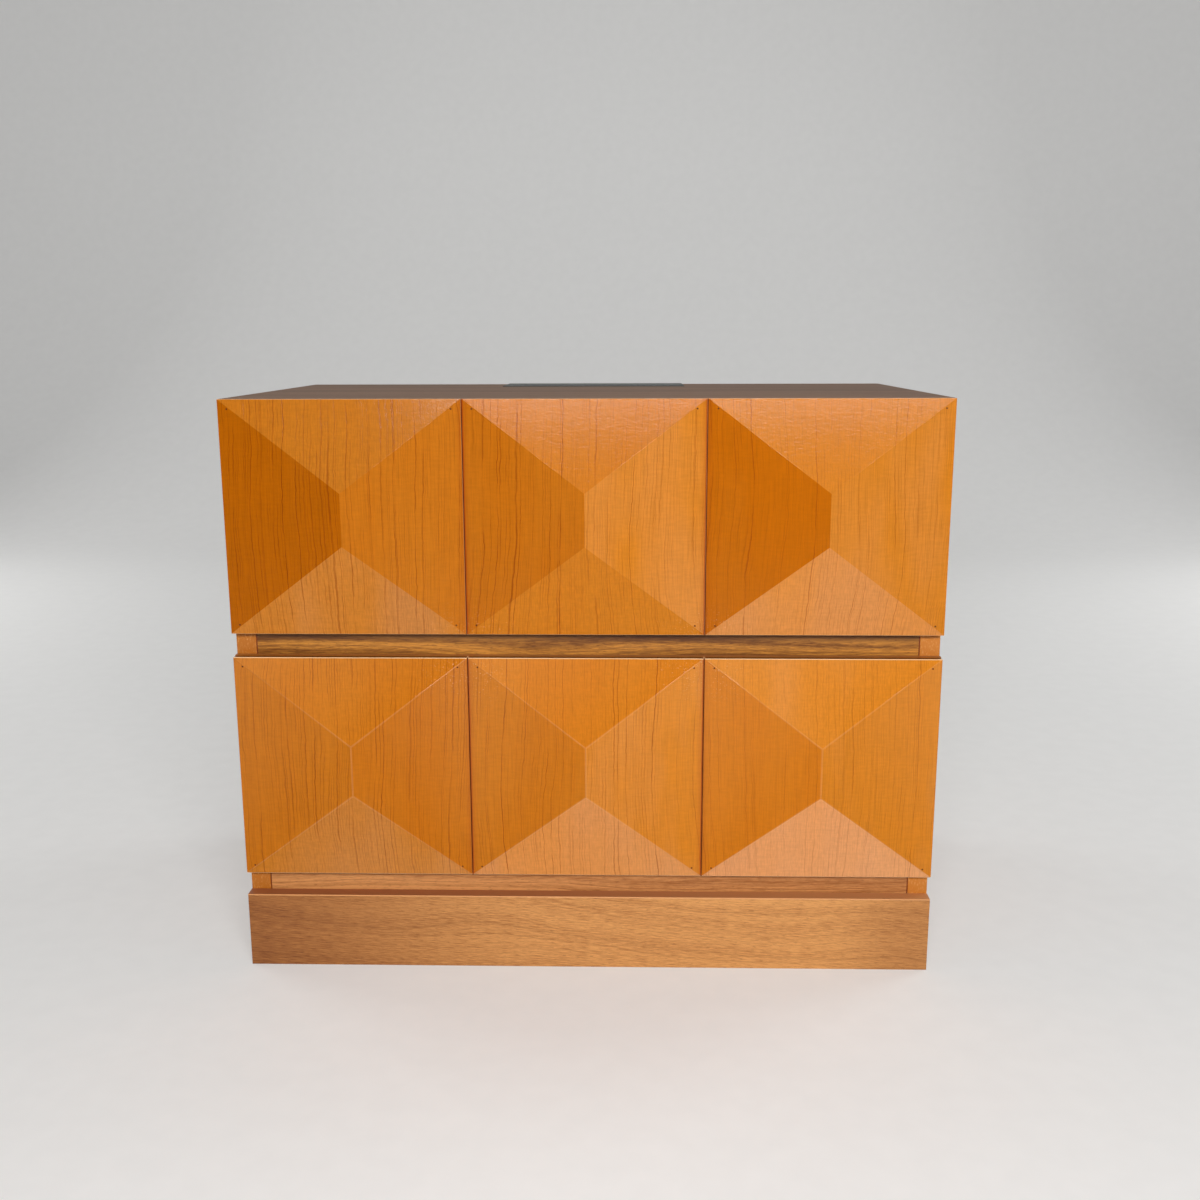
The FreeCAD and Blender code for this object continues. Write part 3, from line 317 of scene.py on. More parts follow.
class Chain:
    """Short calls that add nodes to one tree and join them."""

    def __init__(self, tree):
        self.nodes = tree.nodes
        self.links = tree.links

    def put(self, socket, value):
        """Join a socket to another one, or give it a value."""
        if isinstance(value, bpy.types.NodeSocket):
            self.links.new(value, socket)
        else:
            socket.default_value = value

    def node(self, kind, inputs=(), **settings):
        """A new node with its settings and its inputs, given as (socket name or number, value)."""
        made = self.nodes.new(kind)
        for key, value in settings.items():
            setattr(made, key, value)
        for key, value in inputs:
            self.put(made.inputs[key], value)
        return made

    def first(self, kind, *inputs, **settings):
        """The first output of a new node."""
        return self.node(kind, inputs, **settings).outputs[0]

    def math(self, operation, first, second=0.0, third=0.0, clamp=False):
        """One arithmetic step."""
        values = ((0, first), (1, second), (2, third))
        return self.first("ShaderNodeMath", *values, operation=operation, use_clamp=clamp)

    def vector(self, x, y, z):
        """Three numbers as one vector."""
        return self.first("ShaderNodeCombineXYZ", (0, x), (1, y), (2, z))


class Recipe(Chain):
    """Short calls for one material."""

    def __init__(self, name):
        self.material = bpy.data.materials.new(name)
        self.material.use_nodes = True
        super().__init__(self.material.node_tree)
        self.shader = self.nodes["Principled BSDF"]

    def add(self, first, second):
        """The sum of two numbers."""
        return self.math("ADD", first, second)

    def times(self, first, second):
        """The product of two numbers."""
        return self.math("MULTIPLY", first, second)

    def larger(self, first, second):
        """The larger of two numbers."""
        return self.math("MAXIMUM", first, second)

    def place(self):
        """Object coordinates, in metres."""
        return self.node("ShaderNodeTexCoord").outputs["Object"]

    def axis(self, letter, vector=None):
        """One number of a vector, or of the object coordinates."""
        inputs = ((0, self.place() if vector is None else vector),)
        return self.node("ShaderNodeSeparateXYZ", inputs).outputs["XYZ".index(letter)]

    def noise(self, vector, scale, detail=2.0, roughness=0.5):
        """Smooth noise from 0 to 1 over a vector."""
        inputs = (("Vector", vector), ("Scale", scale), ("Detail", detail), ("Roughness", roughness))
        return self.first("ShaderNodeTexNoise", *inputs)

    def stretched(self, vector, waves):
        """A vector with its own number of waves on each axis."""
        return self.first("ShaderNodeMapping", ("Vector", vector), ("Scale", waves))

    def figure(self, name, space=None, detail=2.0, roughness=0.5):
        """One of the named figures, over a space or over the object coordinates."""
        space = self.place() if space is None else space
        return self.noise(self.stretched(space, WAVES[name]), 1.0, detail, roughness)

    def noise_along(self, value, scale, detail=2.0, roughness=0.5):
        """Smooth noise from 0 to 1 over one number."""
        inputs = (("W", value), ("Scale", scale), ("Detail", detail), ("Roughness", roughness))
        return self.first("ShaderNodeTexNoise", *inputs, noise_dimensions="1D")

    def between(self, value, low, high, start=0.0, end=1.0):
        """A smooth step of a value from one range to another."""
        inputs = (("Value", value), ("From Min", low), ("From Max", high), ("To Min", start), ("To Max", end))
        return self.first("ShaderNodeMapRange", *inputs, interpolation_type="SMOOTHSTEP")

    def swing(self, noise, reach, low=MOST[0], high=MOST[1]):
        """A noise as a number from minus to plus its reach."""
        return self.between(noise, low, high, -reach, reach)

    def uneven(self, noise, smooth, rough):
        """A roughness that follows a noise."""
        return self.between(noise, 0.2, 0.8, smooth, rough)

    def line(self, value, low, high):
        """A value from one range as a straight share from 0 to 1."""
        return self.first("ShaderNodeMapRange", ("Value", value), ("From Min", low), ("From Max", high))

    def mix(self, share, first, second, blend="MIX"):
        """Two colours mixed by a share."""
        made = self.node("ShaderNodeMix", data_type="RGBA", blend_type=blend)
        self.put(made.inputs[0], share)
        for socket, value in ((made.inputs[6], first), (made.inputs[7], second)):
            if not isinstance(value, bpy.types.NodeSocket):
                value = (*value, 1.0)
            self.put(socket, value)
        return made.outputs[2]

    def finish(self, colour, roughness, heights=(), coat=0.0, coat_roughness=0.1, specular=0.5):
        """Join colour, roughness and bumps to the shader. Heights are (height, depth) pairs."""
        self.put(self.shader.inputs["Base Color"], colour)
        self.put(self.shader.inputs["Roughness"], roughness)
        self.shader.inputs["Specular IOR Level"].default_value = specular
        self.shader.inputs["Coat Weight"].default_value = coat
        self.shader.inputs["Coat Roughness"].default_value = coat_roughness
        normal = None
        for height, depth in heights:
            bump = self.node("ShaderNodeBump", (("Height", height), ("Distance", depth)))
            if normal is not None:
                self.put(bump.inputs["Normal"], normal)
            normal = bump.outputs["Normal"]
        if normal is not None:
            self.put(self.shader.inputs["Normal"], normal)
            self.put(self.shader.inputs["Coat Normal"], normal)
        return self.material


def grain_space(recipe, along, across, board=None, turn=0.0):
    """Coordinates with the grain along the third axis, moved to another log by the board's own number."""
    place = recipe.place()
    if turn:
        place = recipe.first("ShaderNodeMapping", ("Vector", place), ("Rotation", (0.0, turn, 0.0)))
    through = ({"X", "Y", "Z"} - {along, across}).pop()
    wide = recipe.axis(across, place)
    if board is not None:
        wide = recipe.math("MULTIPLY_ADD", board, LOG_STEP, wide)
    return recipe.vector(wide, recipe.axis(through, place), recipe.axis(along, place))


def wandering(recipe, space, sway, figure):
    """Distance across the grain, bent so that lines run together and apart."""
    slow = recipe.figure(figure, space, detail=1.0)
    fine = recipe.figure("waver", space, detail=1.0)
    bent = recipe.math("MULTIPLY_ADD", slow, sway, recipe.axis("X", space))
    return recipe.math("MULTIPLY_ADD", fine, WAVER, bent)


def growth_lines(recipe, distance, spacing, soft_start, seed=0.0):
    """Growth rings cut lengthwise: each darkens slowly to a thin line of its own strength, from 0 to 1."""
    uneven = recipe.noise_along(recipe.add(distance, seed), UNEVEN_WAVES / spacing, detail=1.0)
    ring = recipe.math("MULTIPLY_ADD", uneven, UNEVEN, recipe.math("DIVIDE", distance, spacing))
    within = recipe.math("FRACT", ring)
    rise = recipe.between(within, soft_start, CREST - 0.02)
    fall = recipe.between(within, CREST, 1.0, 1.0, 0.0)
    number = recipe.math("FLOOR", ring)
    strength = recipe.first("ShaderNodeTexWhiteNoise", ("W", number), noise_dimensions="1D")
    return recipe.times(recipe.times(rise, fall), strength)


def front_lines(recipe, space):
    """Thin and bold grain lines of the blocks, broken along their length and fainter to the right."""
    distance = wandering(recipe, space, 0.034, "front sway")
    jitter = recipe.figure("jitter", space)
    distance = recipe.math("MULTIPLY_ADD", jitter, JITTER, distance)
    spacing = sizes().line_spacing
    fading = recipe.figure("fading", space, detail=3.0, roughness=0.6)
    fine = growth_lines(recipe, distance, spacing, 0.70)
    fine = recipe.times(fine, recipe.between(fading, 0.40, 0.58, 0.12, 0.70))
    bold = growth_lines(recipe, distance, spacing * 2.8, 0.90, seed=3.0)
    bold = recipe.times(bold, recipe.between(fading, 0.34, 0.54, 0.25, 1.0))
    return recipe.times(recipe.larger(fine, bold), recipe.between(recipe.axis("X"), -0.12, 0.16, 1.0, 0.6))


def front_body(recipe, tone, face_shade, ripple, fibre, cloud):
    """The blocks' wood between its lines: a tone from amber to rosy, faintly rippled, made lighter or darker by
    the face's painted shade.
    """
    tone = recipe.add(tone, recipe.swing(cloud, 0.06))
    wood = recipe.mix(recipe.line(tone, 0.0, 0.7), colours().amber, colours().peach)
    wood = recipe.mix(recipe.line(tone, 0.6, 1.0), wood, colours().rosy)
    shade = recipe.add(recipe.swing(ripple, 0.04, 0.25, 0.75), recipe.swing(fibre, 0.07, 0.25, 0.75))
    shade = recipe.add(face_shade, recipe.add(shade, recipe.swing(cloud, -0.03)))
    grey = recipe.first("ShaderNodeCombineColor", (0, shade), (1, shade), (2, shade))
    return recipe.mix(1.0, wood, grey, blend="MULTIPLY")


def front_marks_and_light(recipe, wood, edge, seam, lower_top):
    """Painted shade with stain in and along the seams, painted highlights with rubbing on rims and lower
    creases, and chips around the upper ends of the lower seams.
    """
    to_seam = recipe.math("SUBTRACT", recipe.math("ABSOLUTE", recipe.axis("X")), seam)
    to_seam = recipe.math("ABSOLUTE", to_seam)
    to_top = recipe.math("SUBTRACT", lower_top, recipe.axis("Z"))
    to_corner = recipe.math("MULTIPLY_ADD", to_seam, to_seam, recipe.times(to_top, to_top))
    to_corner = recipe.math("SQRT", to_corner)
    chipped = recipe.figure("chips", detail=3.0, roughness=0.7)
    chips = recipe.times(recipe.between(chipped, 0.60, 0.70), recipe.between(to_corner, 0.01, 0.06, 0.5, 0.0))
    # Crease points carry a painted highlight; rims carry a painted highlight with rubbing.
    crease_sheen = recipe.node("ShaderNodeAttribute", attribute_name="rubbed").outputs["Fac"]
    rubbed = recipe.larger(recipe.line(edge, 0.0, 1.0), crease_sheen)
    # Painted shade, with stain, in and along each seam.
    in_seam = recipe.between(to_seam, 0.0004, 0.0012, 0.5, 0.0)
    seam_shade_and_stain = recipe.add(in_seam, recipe.between(to_seam, 0.0, 0.006, 0.25, 0.0))
    wood = recipe.mix(recipe.larger(recipe.line(edge, 0.0, -1.0), seam_shade_and_stain), wood, colours().seam)
    return recipe.mix(recipe.larger(rubbed, chips), wood, PALE_WEAR_AND_HIGHLIGHT)


def make_front_wood(seam, lower_top):
    """Straight-grained wood of the blocks: thin upright lines, a faint cross ripple and a rubbed lacquer, with
    painted shade and painted highlights carried by each face.
    """
    recipe = Recipe("front_wood_honey")
    cut = recipe.node("ShaderNodeAttribute", attribute_name="cut").outputs
    board, tone, edge = recipe.node("ShaderNodeSeparateColor", ((0, cut["Color"]),)).outputs
    space = grain_space(recipe, "Z", "X", board)
    lines = front_lines(recipe, space)
    fibre = recipe.figure("front fibre", space)
    ripple = recipe.figure("ripple", space)
    cloud = recipe.figure("front cloud", space)
    wood = front_body(recipe, tone, cut["Alpha"], ripple, fibre, cloud)
    wood = recipe.mix(lines, wood, colours().front_line, blend="MULTIPLY")
    wood = front_marks_and_light(recipe, wood, edge, seam, lower_top)
    peel = recipe.figure("peel")
    heights = ((lines, DEPTHS["lines"]), (ripple, DEPTHS["ripple"]), (peel, DEPTHS["peel"]))
    return recipe.finish(wood, recipe.uneven(fibre, 0.34, 0.44), heights, coat=0.14, coat_roughness=0.13,
                         specular=0.02)


def make_figured_wood(name, along, across, light, dark, line, details=(), sway=0.05,
                      sway_figure="cabinet sway", band=0.011, band_share=0.75, fleck_share=0.2,
                      fleck_fineness=900.0, line_share=0.5, turn=0.0, specular=0.3, coat=0.12, gloss=0.40,
                      dark_ends=False):
    """Open-pored wood with soft bands: cabinet boards, rails and the plinth.

    Each detail is a function that adds to the wood, followed by what else it takes.
    """
    recipe = Recipe(name)
    space = grain_space(recipe, along, across, turn=turn)
    distance = wandering(recipe, space, sway, sway_figure)
    bands = recipe.noise_along(distance, 0.5 / band, detail=3.0, roughness=0.6)
    flecks = (fleck_fineness, fleck_fineness, FLECK_WAVES)
    fleck = recipe.noise(recipe.stretched(space, flecks), 1.0, detail=4.0, roughness=0.7)
    pores = (PORE_WAVES, PORE_WAVES, 1.0 / sizes().pore_length)
    pores = recipe.noise(recipe.stretched(space, pores), 1.0, detail=1.0)
    cloud = recipe.figure("cabinet cloud", space)
    share = recipe.between(bands, *MOST, 0.37 - band_share / 2, 0.37 + band_share / 2)
    share = recipe.add(share, recipe.between(cloud, *MOST, -0.15, 0.25))
    share = recipe.add(share, recipe.swing(fleck, fleck_share))
    # Darker ends and a lighter right part: stain in the wood together with painted shade and light for a lamp on
    # the right.
    if dark_ends:
        length = recipe.math("MULTIPLY_ADD", cloud, 0.12, recipe.axis("X"))
        share = recipe.add(share, recipe.between(length, 0.02, 0.22, 0.0, -0.35))
        left_end = recipe.between(length, -0.27, 0.05, 1.0, 0.0)
        stain_and_shade = recipe.add(left_end, recipe.between(length, 0.27, 0.36, 0.0, 0.5))
    wood = recipe.mix(recipe.math("ADD", share, 0.0, clamp=True), light, dark)
    lines = growth_lines(recipe, distance, band * 0.6, 0.6)
    marks = recipe.larger(recipe.times(lines, 0.7), recipe.between(pores, 0.60, 0.70))
    wood = recipe.mix(recipe.times(marks, line_share), wood, line)
    if dark_ends:
        wood = recipe.mix(stain_and_shade, wood, END_STAIN_AND_SHADE, blend="MULTIPLY")
    for detail, *given in details:
        wood = detail(recipe, wood, *given)
    rough = recipe.uneven(fleck, gloss, gloss + 0.12)
    return recipe.finish(wood, rough, ((pores, DEPTHS["pores"]),), coat=coat, coat_roughness=0.3,
                         specular=specular)


def add_lip(recipe, wood, front):
    """A speckled lip on the front edge of each side; the left lip is painted darker, as shade."""
    on_left = recipe.math("LESS_THAN", recipe.axis("X"), 0.0)
    colour = recipe.mix(on_left, colours().right_lip, colours().left_lip_shaded)
    specks = recipe.figure("specks", detail=3.0, roughness=0.7)
    lip = recipe.mix(recipe.between(specks, 0.50, 0.80, 0.0, 0.8), colour, LIP_SPECK)
    return recipe.mix(recipe.math("LESS_THAN", recipe.axis("Y"), front), wood, lip)


def add_ledge(recipe, wood):
    """The plinth's rim, pale as a painted highlight with rubbing where it turns upward, and its level upper edge
    in painted shade that thins to the right.
    """
    upward = recipe.axis("Z", recipe.node("ShaderNodeNewGeometry").outputs["Normal"])
    # Painted highlight, with rubbing, on the rounding that turns upward.
    wood = recipe.mix(recipe.math("GREATER_THAN", upward, LEANING), wood, RIM_HIGHLIGHT_AND_WEAR)
    shade_share = recipe.between(recipe.axis("X"), -0.2, 0.3, 0.85, 0.36)
    # Painted shade on the level ledge, thinning to the right.
    on_ledge = recipe.math("GREATER_THAN", upward, LEVEL)
    return recipe.mix(recipe.times(on_ledge, shade_share), wood, colours().ledge_shade)


def add_painted_shadow(recipe, wood, height):
    """Painted shadow on a rail, cast by the edge of the drawer front above it."""
    shade_share = recipe.between(recipe.axis("Z"), height - 0.012, height - 0.006, 0.0, 0.7)
    return recipe.mix(shade_share, wood, RAIL_LINE_AND_SHADOW)


def add_joints(recipe, wood, end):
    """A dark joint at each end of a rail."""
    outward = recipe.math("ABSOLUTE", recipe.axis("X"))
    in_joint = recipe.math("GREATER_THAN", outward, end - sizes().joint_width)
    return recipe.mix(in_joint, wood, JOINT)


def make_pale_wood(name, along, across):
    """Plain pale wood of the drawer boxes, runners and dowels."""
    recipe = Recipe(name)
    space = grain_space(recipe, along, across)
    distance = wandering(recipe, space, 0.03, "pale sway")
    bands = recipe.noise_along(distance, 60.0, detail=3.0, roughness=0.6)
    dashes = recipe.figure("dashes", space, detail=1.0)
    wood = recipe.mix(recipe.between(bands, *MOST), colours().box_light, colours().box_dark)
    wood = recipe.mix(recipe.between(dashes, 0.62, 0.72, 0.0, 0.35), wood, BOX_DASH)
    heights = ((dashes, DEPTHS["dashes"]),)
    return recipe.finish(wood, recipe.uneven(bands, 0.55, 0.65), heights, specular=0.3)


def make_plywood():
    """Plain rotary-cut veneer of the bottoms and the back."""
    recipe = Recipe("plywood_plain")
    space = grain_space(recipe, "X", "Y")
    distance = wandering(recipe, space, 0.16, "ply sway")
    bands = recipe.noise_along(distance, 34.0, detail=2.0)
    fibre = recipe.figure("ply fibre", space, detail=3.0)
    wood = recipe.mix(recipe.between(bands, *MOST), colours().ply_light, colours().ply_dark)
    wood = recipe.mix(recipe.between(fibre, 0.5, 0.75, 0.0, 0.3), wood, PLY_FIBRE)
    heights = ((fibre, DEPTHS["ply fibre"]),)
    return recipe.finish(wood, recipe.uneven(fibre, 0.55, 0.7), heights, specular=0.3)


def make_metal(name, colour, metallic, roughness):
    """Screws, nails and the plate, with a faint uneven surface."""
    recipe = Recipe(name)
    wear_and_sheen = recipe.noise(recipe.place(), METAL_WAVES, detail=4.0, roughness=0.6)
    base = recipe.mix(recipe.between(wear_and_sheen, 0.35, 0.65), colour, [value * 0.72 for value in colour])
    recipe.shader.inputs["Metallic"].default_value = metallic
    rough = recipe.between(wear_and_sheen, *MOST, roughness * 0.85, roughness * 1.2)
    return recipe.finish(base, rough, ((wear_and_sheen, DEPTHS["metal"]),))


def make_pin_wood():
    """Dark end grain of the pins."""
    recipe = Recipe("pin_end_grain")
    spots = recipe.noise(recipe.place(), PIN_WAVES)
    wood = recipe.mix(recipe.between(spots, *MOST), PIN_LIGHT, PIN_DARK)
    return recipe.finish(wood, recipe.uneven(spots, 0.5, 0.6), ((spots, DEPTHS["pins"]),), specular=0.1)


def dress(nodes, material):
    """Give CAD nodes whose shape stays a material of their own."""
    for name in nodes:
        mesh = frame["nodes"][name].data
        for number in range(len(mesh.materials)):
            mesh.materials[number] = material


def body_of(node):
    """Body that a node rides on."""
    return next(body for body, nodes in frame["record"]["behaviour"]["bodies"].items() if node in nodes)


def mesh_of(form, name):
    """A bmesh as a plain mesh."""
    mesh = bpy.data.meshes.new(name)
    form.to_mesh(mesh)
    form.free()
    return mesh


def new_piece(name, mesh, node, material):
    """Make a mesh a piece that stands for a CAD node and rides on the same body."""
    mesh.name = name
    mesh.materials.clear()
    mesh.materials.append(material)
    piece = bpy.data.objects.new(name, mesh)
    bpy.context.scene.collection.objects.link(piece)
    body = body_of(node)
    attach(piece, body)
    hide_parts(node)


def welded(node):
    """A CAD node as one bmesh whose triangles share their points."""
    form = bmesh.new()
    form.from_mesh(frame["nodes"][node].data)
    bmesh.ops.remove_doubles(form, verts=form.verts, dist=WELD)
    return form


def round_edges(form, edges, width, segments):
    """Round some edges of a bmesh and give the new faces."""
    return bmesh.ops.bevel(form, geom=edges, offset=width, offset_type="OFFSET", segments=segments,
                           profile=0.5, affect="EDGES", clamp_overlap=True)["faces"]


def soften(node, material):
    """A board with its long sharp edges rubbed down, in place of its CAD node."""
    form = welded(node)
    bmesh.ops.dissolve_limit(form, angle_limit=FLAT, verts=form.verts, edges=form.edges)
    bmesh.ops.recalc_face_normals(form, faces=form.faces)
    edges = [edge for edge in form.edges if edge.calc_face_angle(0.0) > SHARP and edge.calc_length() > LONG]
    round_edges(form, edges, sizes().arris, 2)
    name = f"{node}_board"
    new_piece(name, mesh_of(form, name), node, material)


class NIGHTSTAND_OT_finish_cabinet(bpy.types.Operator):
    """Soften and finish everything that stands still"""

    bl_idname = "nightstand.finish_cabinet"
    bl_label = "Finish the cabinet"

    def execute(self, context):
        palette = colours()
        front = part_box("side_panel_left")[0].y + MILLIMETRE
        side_wood = make_figured_wood(
            "cabinet_wood_upright", "Z", "Y", palette.side_light, palette.side_dark, palette.cabinet_line,
            details=((add_lip, front),),
        )
        top_wood = make_figured_wood(
            "cabinet_wood_top", "X", "Y", palette.top_light, palette.top_dark, palette.cabinet_line,
            specular=0.42, coat=0.0, gloss=0.52,
        )
        rail_wood = make_figured_wood(
            "rail_wood", "X", "Z", palette.rail_light, palette.rail_dark, RAIL_LINE_AND_SHADOW,
            # A painted shadow under the upper drawer front, and dark joints at the ends.
            details=((add_painted_shadow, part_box("upper_block_left")[0].z), (add_joints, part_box("middle_rail")[1].x)),
            sway=0.03, sway_figure="rail sway", band=0.006, fleck_share=0.34,
        )
        plinth_wood = make_figured_wood(
            "plinth_wood", "X", "Z", palette.plinth_light, palette.plinth_dark, palette.cabinet_line,
            # Painted highlight and shade on the rim and ledge; ends darkened by stain and painted shade.
            details=((add_ledge,),), sway=0.045, sway_figure="plinth sway", band=0.006, band_share=0.30,
            fleck_share=0.50, fleck_fineness=1500.0, line_share=0.3, turn=math.radians(-3.5), dark_ends=True,
        )
        low_rail_wood = make_figured_wood(
            "low_rail_wood", "X", "Z", palette.low_rail_light, palette.plinth_dark, palette.cabinet_line,
            details=((add_joints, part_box("bottom_rail")[1].x),), sway=0.03, sway_figure="rail sway",
            band=0.005, fleck_share=0.3, line_share=0.4,
        )
        soften("top_panel", top_wood)
        for side in ("left", "right"):
            soften(f"side_panel_{side}", side_wood)
        soften("middle_rail", rail_wood)
        soften("bottom_rail", low_rail_wood)
        soften("plinth_front", plinth_wood)
        pale_deep = make_pale_wood("runner_wood", "Y", "Z")
        for drawer in DRAWERS:
            for side in ("left", "right"):
                soften(f"{drawer}_runner_{side}", pale_deep)
        dress(("mitre_tongue_left", "mitre_tongue_right"), pale_deep)
        pale_across = make_pale_wood("cross_wood", "X", "Z")
        dress(("rear_stretcher", "plinth_glue_blocks", "carcass_dowels"), pale_across)
        dress(("back_panel", "bottom_panel"), make_plywood())
        soften("top_plate", make_metal("painted_plate", palette.plate, 0.0, 0.45))
        return {"FINISHED"}


def block_lines(node):
    """Corners of a hipped block, the depth of its rim, and the foot and head of its ridge."""
    low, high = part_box(node)
    points = [vertex.co for vertex in frame["nodes"][node].data.vertices]
    rim = max(point.y for point in points if point.x < low.x + WELD and point.y < high.y - MILLIMETRE)
    ridge = [point.z for point in points if point.y < low.y + WELD]
    return low, high, rim, min(ridge), max(ridge)


def build_hips(form, low, high, middle, rim, foot, head):
    """Build a block in a bmesh. Gives its slopes, left, right, top and bottom, and its ridge's points."""
    corners = ((low.x, low.z), (high.x, low.z), (high.x, high.z), (low.x, high.z))
    back = [form.verts.new((x, high.y, z)) for x, z in corners]
    edge = [form.verts.new((x, rim, z)) for x, z in corners]
    ridge_low = form.verts.new((middle, low.y, foot))
    ridge_high = form.verts.new((middle, low.y, head))
    form.faces.new(back)
    for number in range(4):
        after = (number + 1) % 4
        form.faces.new((back[number], back[after], edge[after], edge[number]))
    slopes = [form.faces.new(points) for points in (
        (edge[0], edge[3], ridge_high, ridge_low),
        (edge[1], ridge_low, ridge_high, edge[2]),
        (edge[2], ridge_high, edge[3]),
        (edge[0], ridge_low, edge[1]),
    )]
    bmesh.ops.recalc_face_normals(form, faces=form.faces)
    return slopes, {ridge_low, ridge_high}


def carve_block(name, node, tones_and_shading, board, crease, wear_and_sheen, material):
    """One hipped block with rounded hips and ridge.

    Its faces carry the board's number, their tone, how pale they are (above 0: painted highlight and rubbing)
    and how dark (below 0: painted shade and stain in a seam), and their painted shade. The points in the middle
    of the rounding carry the crease's painted highlight.
    """
    low, high, rim, foot, head = block_lines(node)
    middle = (low.x + high.x) / 2
    seam_reach = (high.x - low.x) * SEAM_REACH
    if abs(low.x) < seam_reach:
        low.x -= sizes().seam_closing
    if abs(high.x) < seam_reach:
        high.x += sizes().seam_closing
    form = bmesh.new()
    cut = form.faces.layers.float_color.new("cut")
    rubbed = form.verts.layers.float.new("rubbed")
    slopes, ridge = build_hips(form, low, high, middle, rim, foot, head)
    for face in form.faces:
        in_seam = abs(face.normal.x) > SQUARE and abs(face.calc_center_median().x) < seam_reach
        # The upper side is painted darker, as shade.
        face_shade = SHADED if face.normal.z > SQUARE else 1.0
        face[cut] = (board, SIDE_TONE, -1.0 if in_seam else 0.0, face_shade)
    # Sloping faces take their listed tone and painted shade.
    for face, (tone, face_shade) in zip(slopes, tones_and_shading):
        face[cut] = (board, tone, 0.0, face_shade)
    hips = round_edges(form, [edge for edge in form.edges if ridge & set(edge.verts)], crease, 4)
    for face in hips:
        face.smooth = True
    # On the lower blocks the middle of each crease carries a painted highlight.
    for vertex in {vertex for face in hips for vertex in face.verts}:
        if all(face.smooth for face in vertex.link_faces):
            vertex[rubbed] = wear_and_sheen
    turned = [edge for edge in form.edges if edge.calc_face_angle(0.0) > RIM_TURN]
    for face in round_edges(form, turned, sizes().block_arris, 1):
        # Rims of upper blocks that face right get a painted highlight; level rims get a painted highlight with
        # rubbing.
        lit = face.normal.x > 0.0 and wear_and_sheen == 0.0
        rim_highlight_and_wear = LIT_HIGHLIGHT if lit else UPRIGHT_WEAR
        if abs(face.normal.x) <= abs(face.normal.z):
            rim_highlight_and_wear = LEVEL_HIGHLIGHT_AND_WEAR
        face[cut] = (board, RIM_TONE, rim_highlight_and_wear, 1.0)
    new_piece(name, mesh_of(form, name), node, material)


class NIGHTSTAND_OT_carve_fronts(bpy.types.Operator):
    """Carve the hipped blocks of both drawers and finish the boards behind them"""

    bl_idname = "nightstand.carve_fronts"
    bl_label = "Carve the fronts"

    def execute(self, context):
        palette = colours()
        middle_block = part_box("lower_block_centre")[1]
        wood = make_front_wood(middle_block.x, middle_block.z)
        backing = make_figured_wood("backing_wood", "X", "Z", palette.backing_light, palette.backing_dark,
                                    palette.seam)
        creases = {"upper": (sizes().upper_crease, 0.0), "lower": (sizes().lower_crease, sizes().crease_highlight)}
        board = 0.0
        for drawer, (crease, wear_and_sheen) in creases.items():
            for side in SIDES:
                board += 1.0
                block = f"{drawer}_{side}"
                carve_block(f"{block}_hipped_block", f"{drawer}_block_{side}", BLOCK_TONES_AND_SHADING[block], board,
                            crease, wear_and_sheen, wood)
            soften(f"{drawer}_front_backing", backing)
        return {"FINISHED"}


class NIGHTSTAND_OT_finish_boxes(bpy.types.Operator):
    """Soften and finish the dovetailed boxes of both drawers"""

    bl_idname = "nightstand.finish_boxes"
    bl_label = "Finish the drawer boxes"

    def execute(self, context):
        across = make_pale_wood("drawer_wood_across", "X", "Z")
        deep = make_pale_wood("drawer_wood_deep", "Y", "Z")
        ply = make_plywood()
        for drawer in DRAWERS:
            for board in ("front", "back"):
                soften(f"{drawer}_box_{board}", across)
            for side in ("left", "right"):
                soften(f"{drawer}_box_side_{side}", deep)
            dress((f"{drawer}_drawer_bottom",), ply)
        return {"FINISHED"}


def solids_of(node):
    """Lowest and highest corner of each separate solid in a node."""
    form = welded(node)
    left = set(form.verts)
    found = []
    while left:
        wave = [left.pop()]
        solid = list(wave)
        while wave:
            fresh = {edge.other_vert(vertex) for vertex in wave for edge in vertex.link_edges} & left
            left -= fresh
            solid += fresh
            wave = list(fresh)
        found.append([Vector([pick(vertex.co[axis] for vertex in solid) for axis in range(3)])
                      for pick in (min, max)])
    form.free()
    return sorted(found, key=lambda corners: tuple(corners[0]))


class Tree(Chain):
    """Short calls for one Geometry Nodes tree."""

    def __init__(self, name):
        self.group = bpy.data.node_groups.new(name, "GeometryNodeTree")
        super().__init__(self.group)
        for way in ("INPUT", "OUTPUT"):
            self.group.interface.new_socket("Geometry", in_out=way, socket_type="NodeSocketGeometry")
        self.source = self.nodes.new("NodeGroupInput")
        self.result = self.nodes.new("NodeGroupOutput")

    def take(self, kind, *names):
        """Named inputs of the tree, all of one kind."""
        for name in names:
            self.group.interface.new_socket(name, in_out="INPUT", socket_type=kind)
        return [self.source.outputs[name] for name in names]

    def lifted(self, geometry, height):
        """Geometry moved up."""
        up = self.vector(0.0, 0.0, height)
        return self.first("GeometryNodeTransform", ("Geometry", geometry), ("Translation", up))

    def cone(self, sides, top, bottom, depth, start):
        """A turned step from one height down by its depth."""
        inputs = (("Vertices", sides), ("Radius Top", top), ("Radius Bottom", bottom), ("Depth", depth))
        return self.lifted(self.first("GeometryNodeMeshCone", *inputs), self.math("SUBTRACT", start, depth))


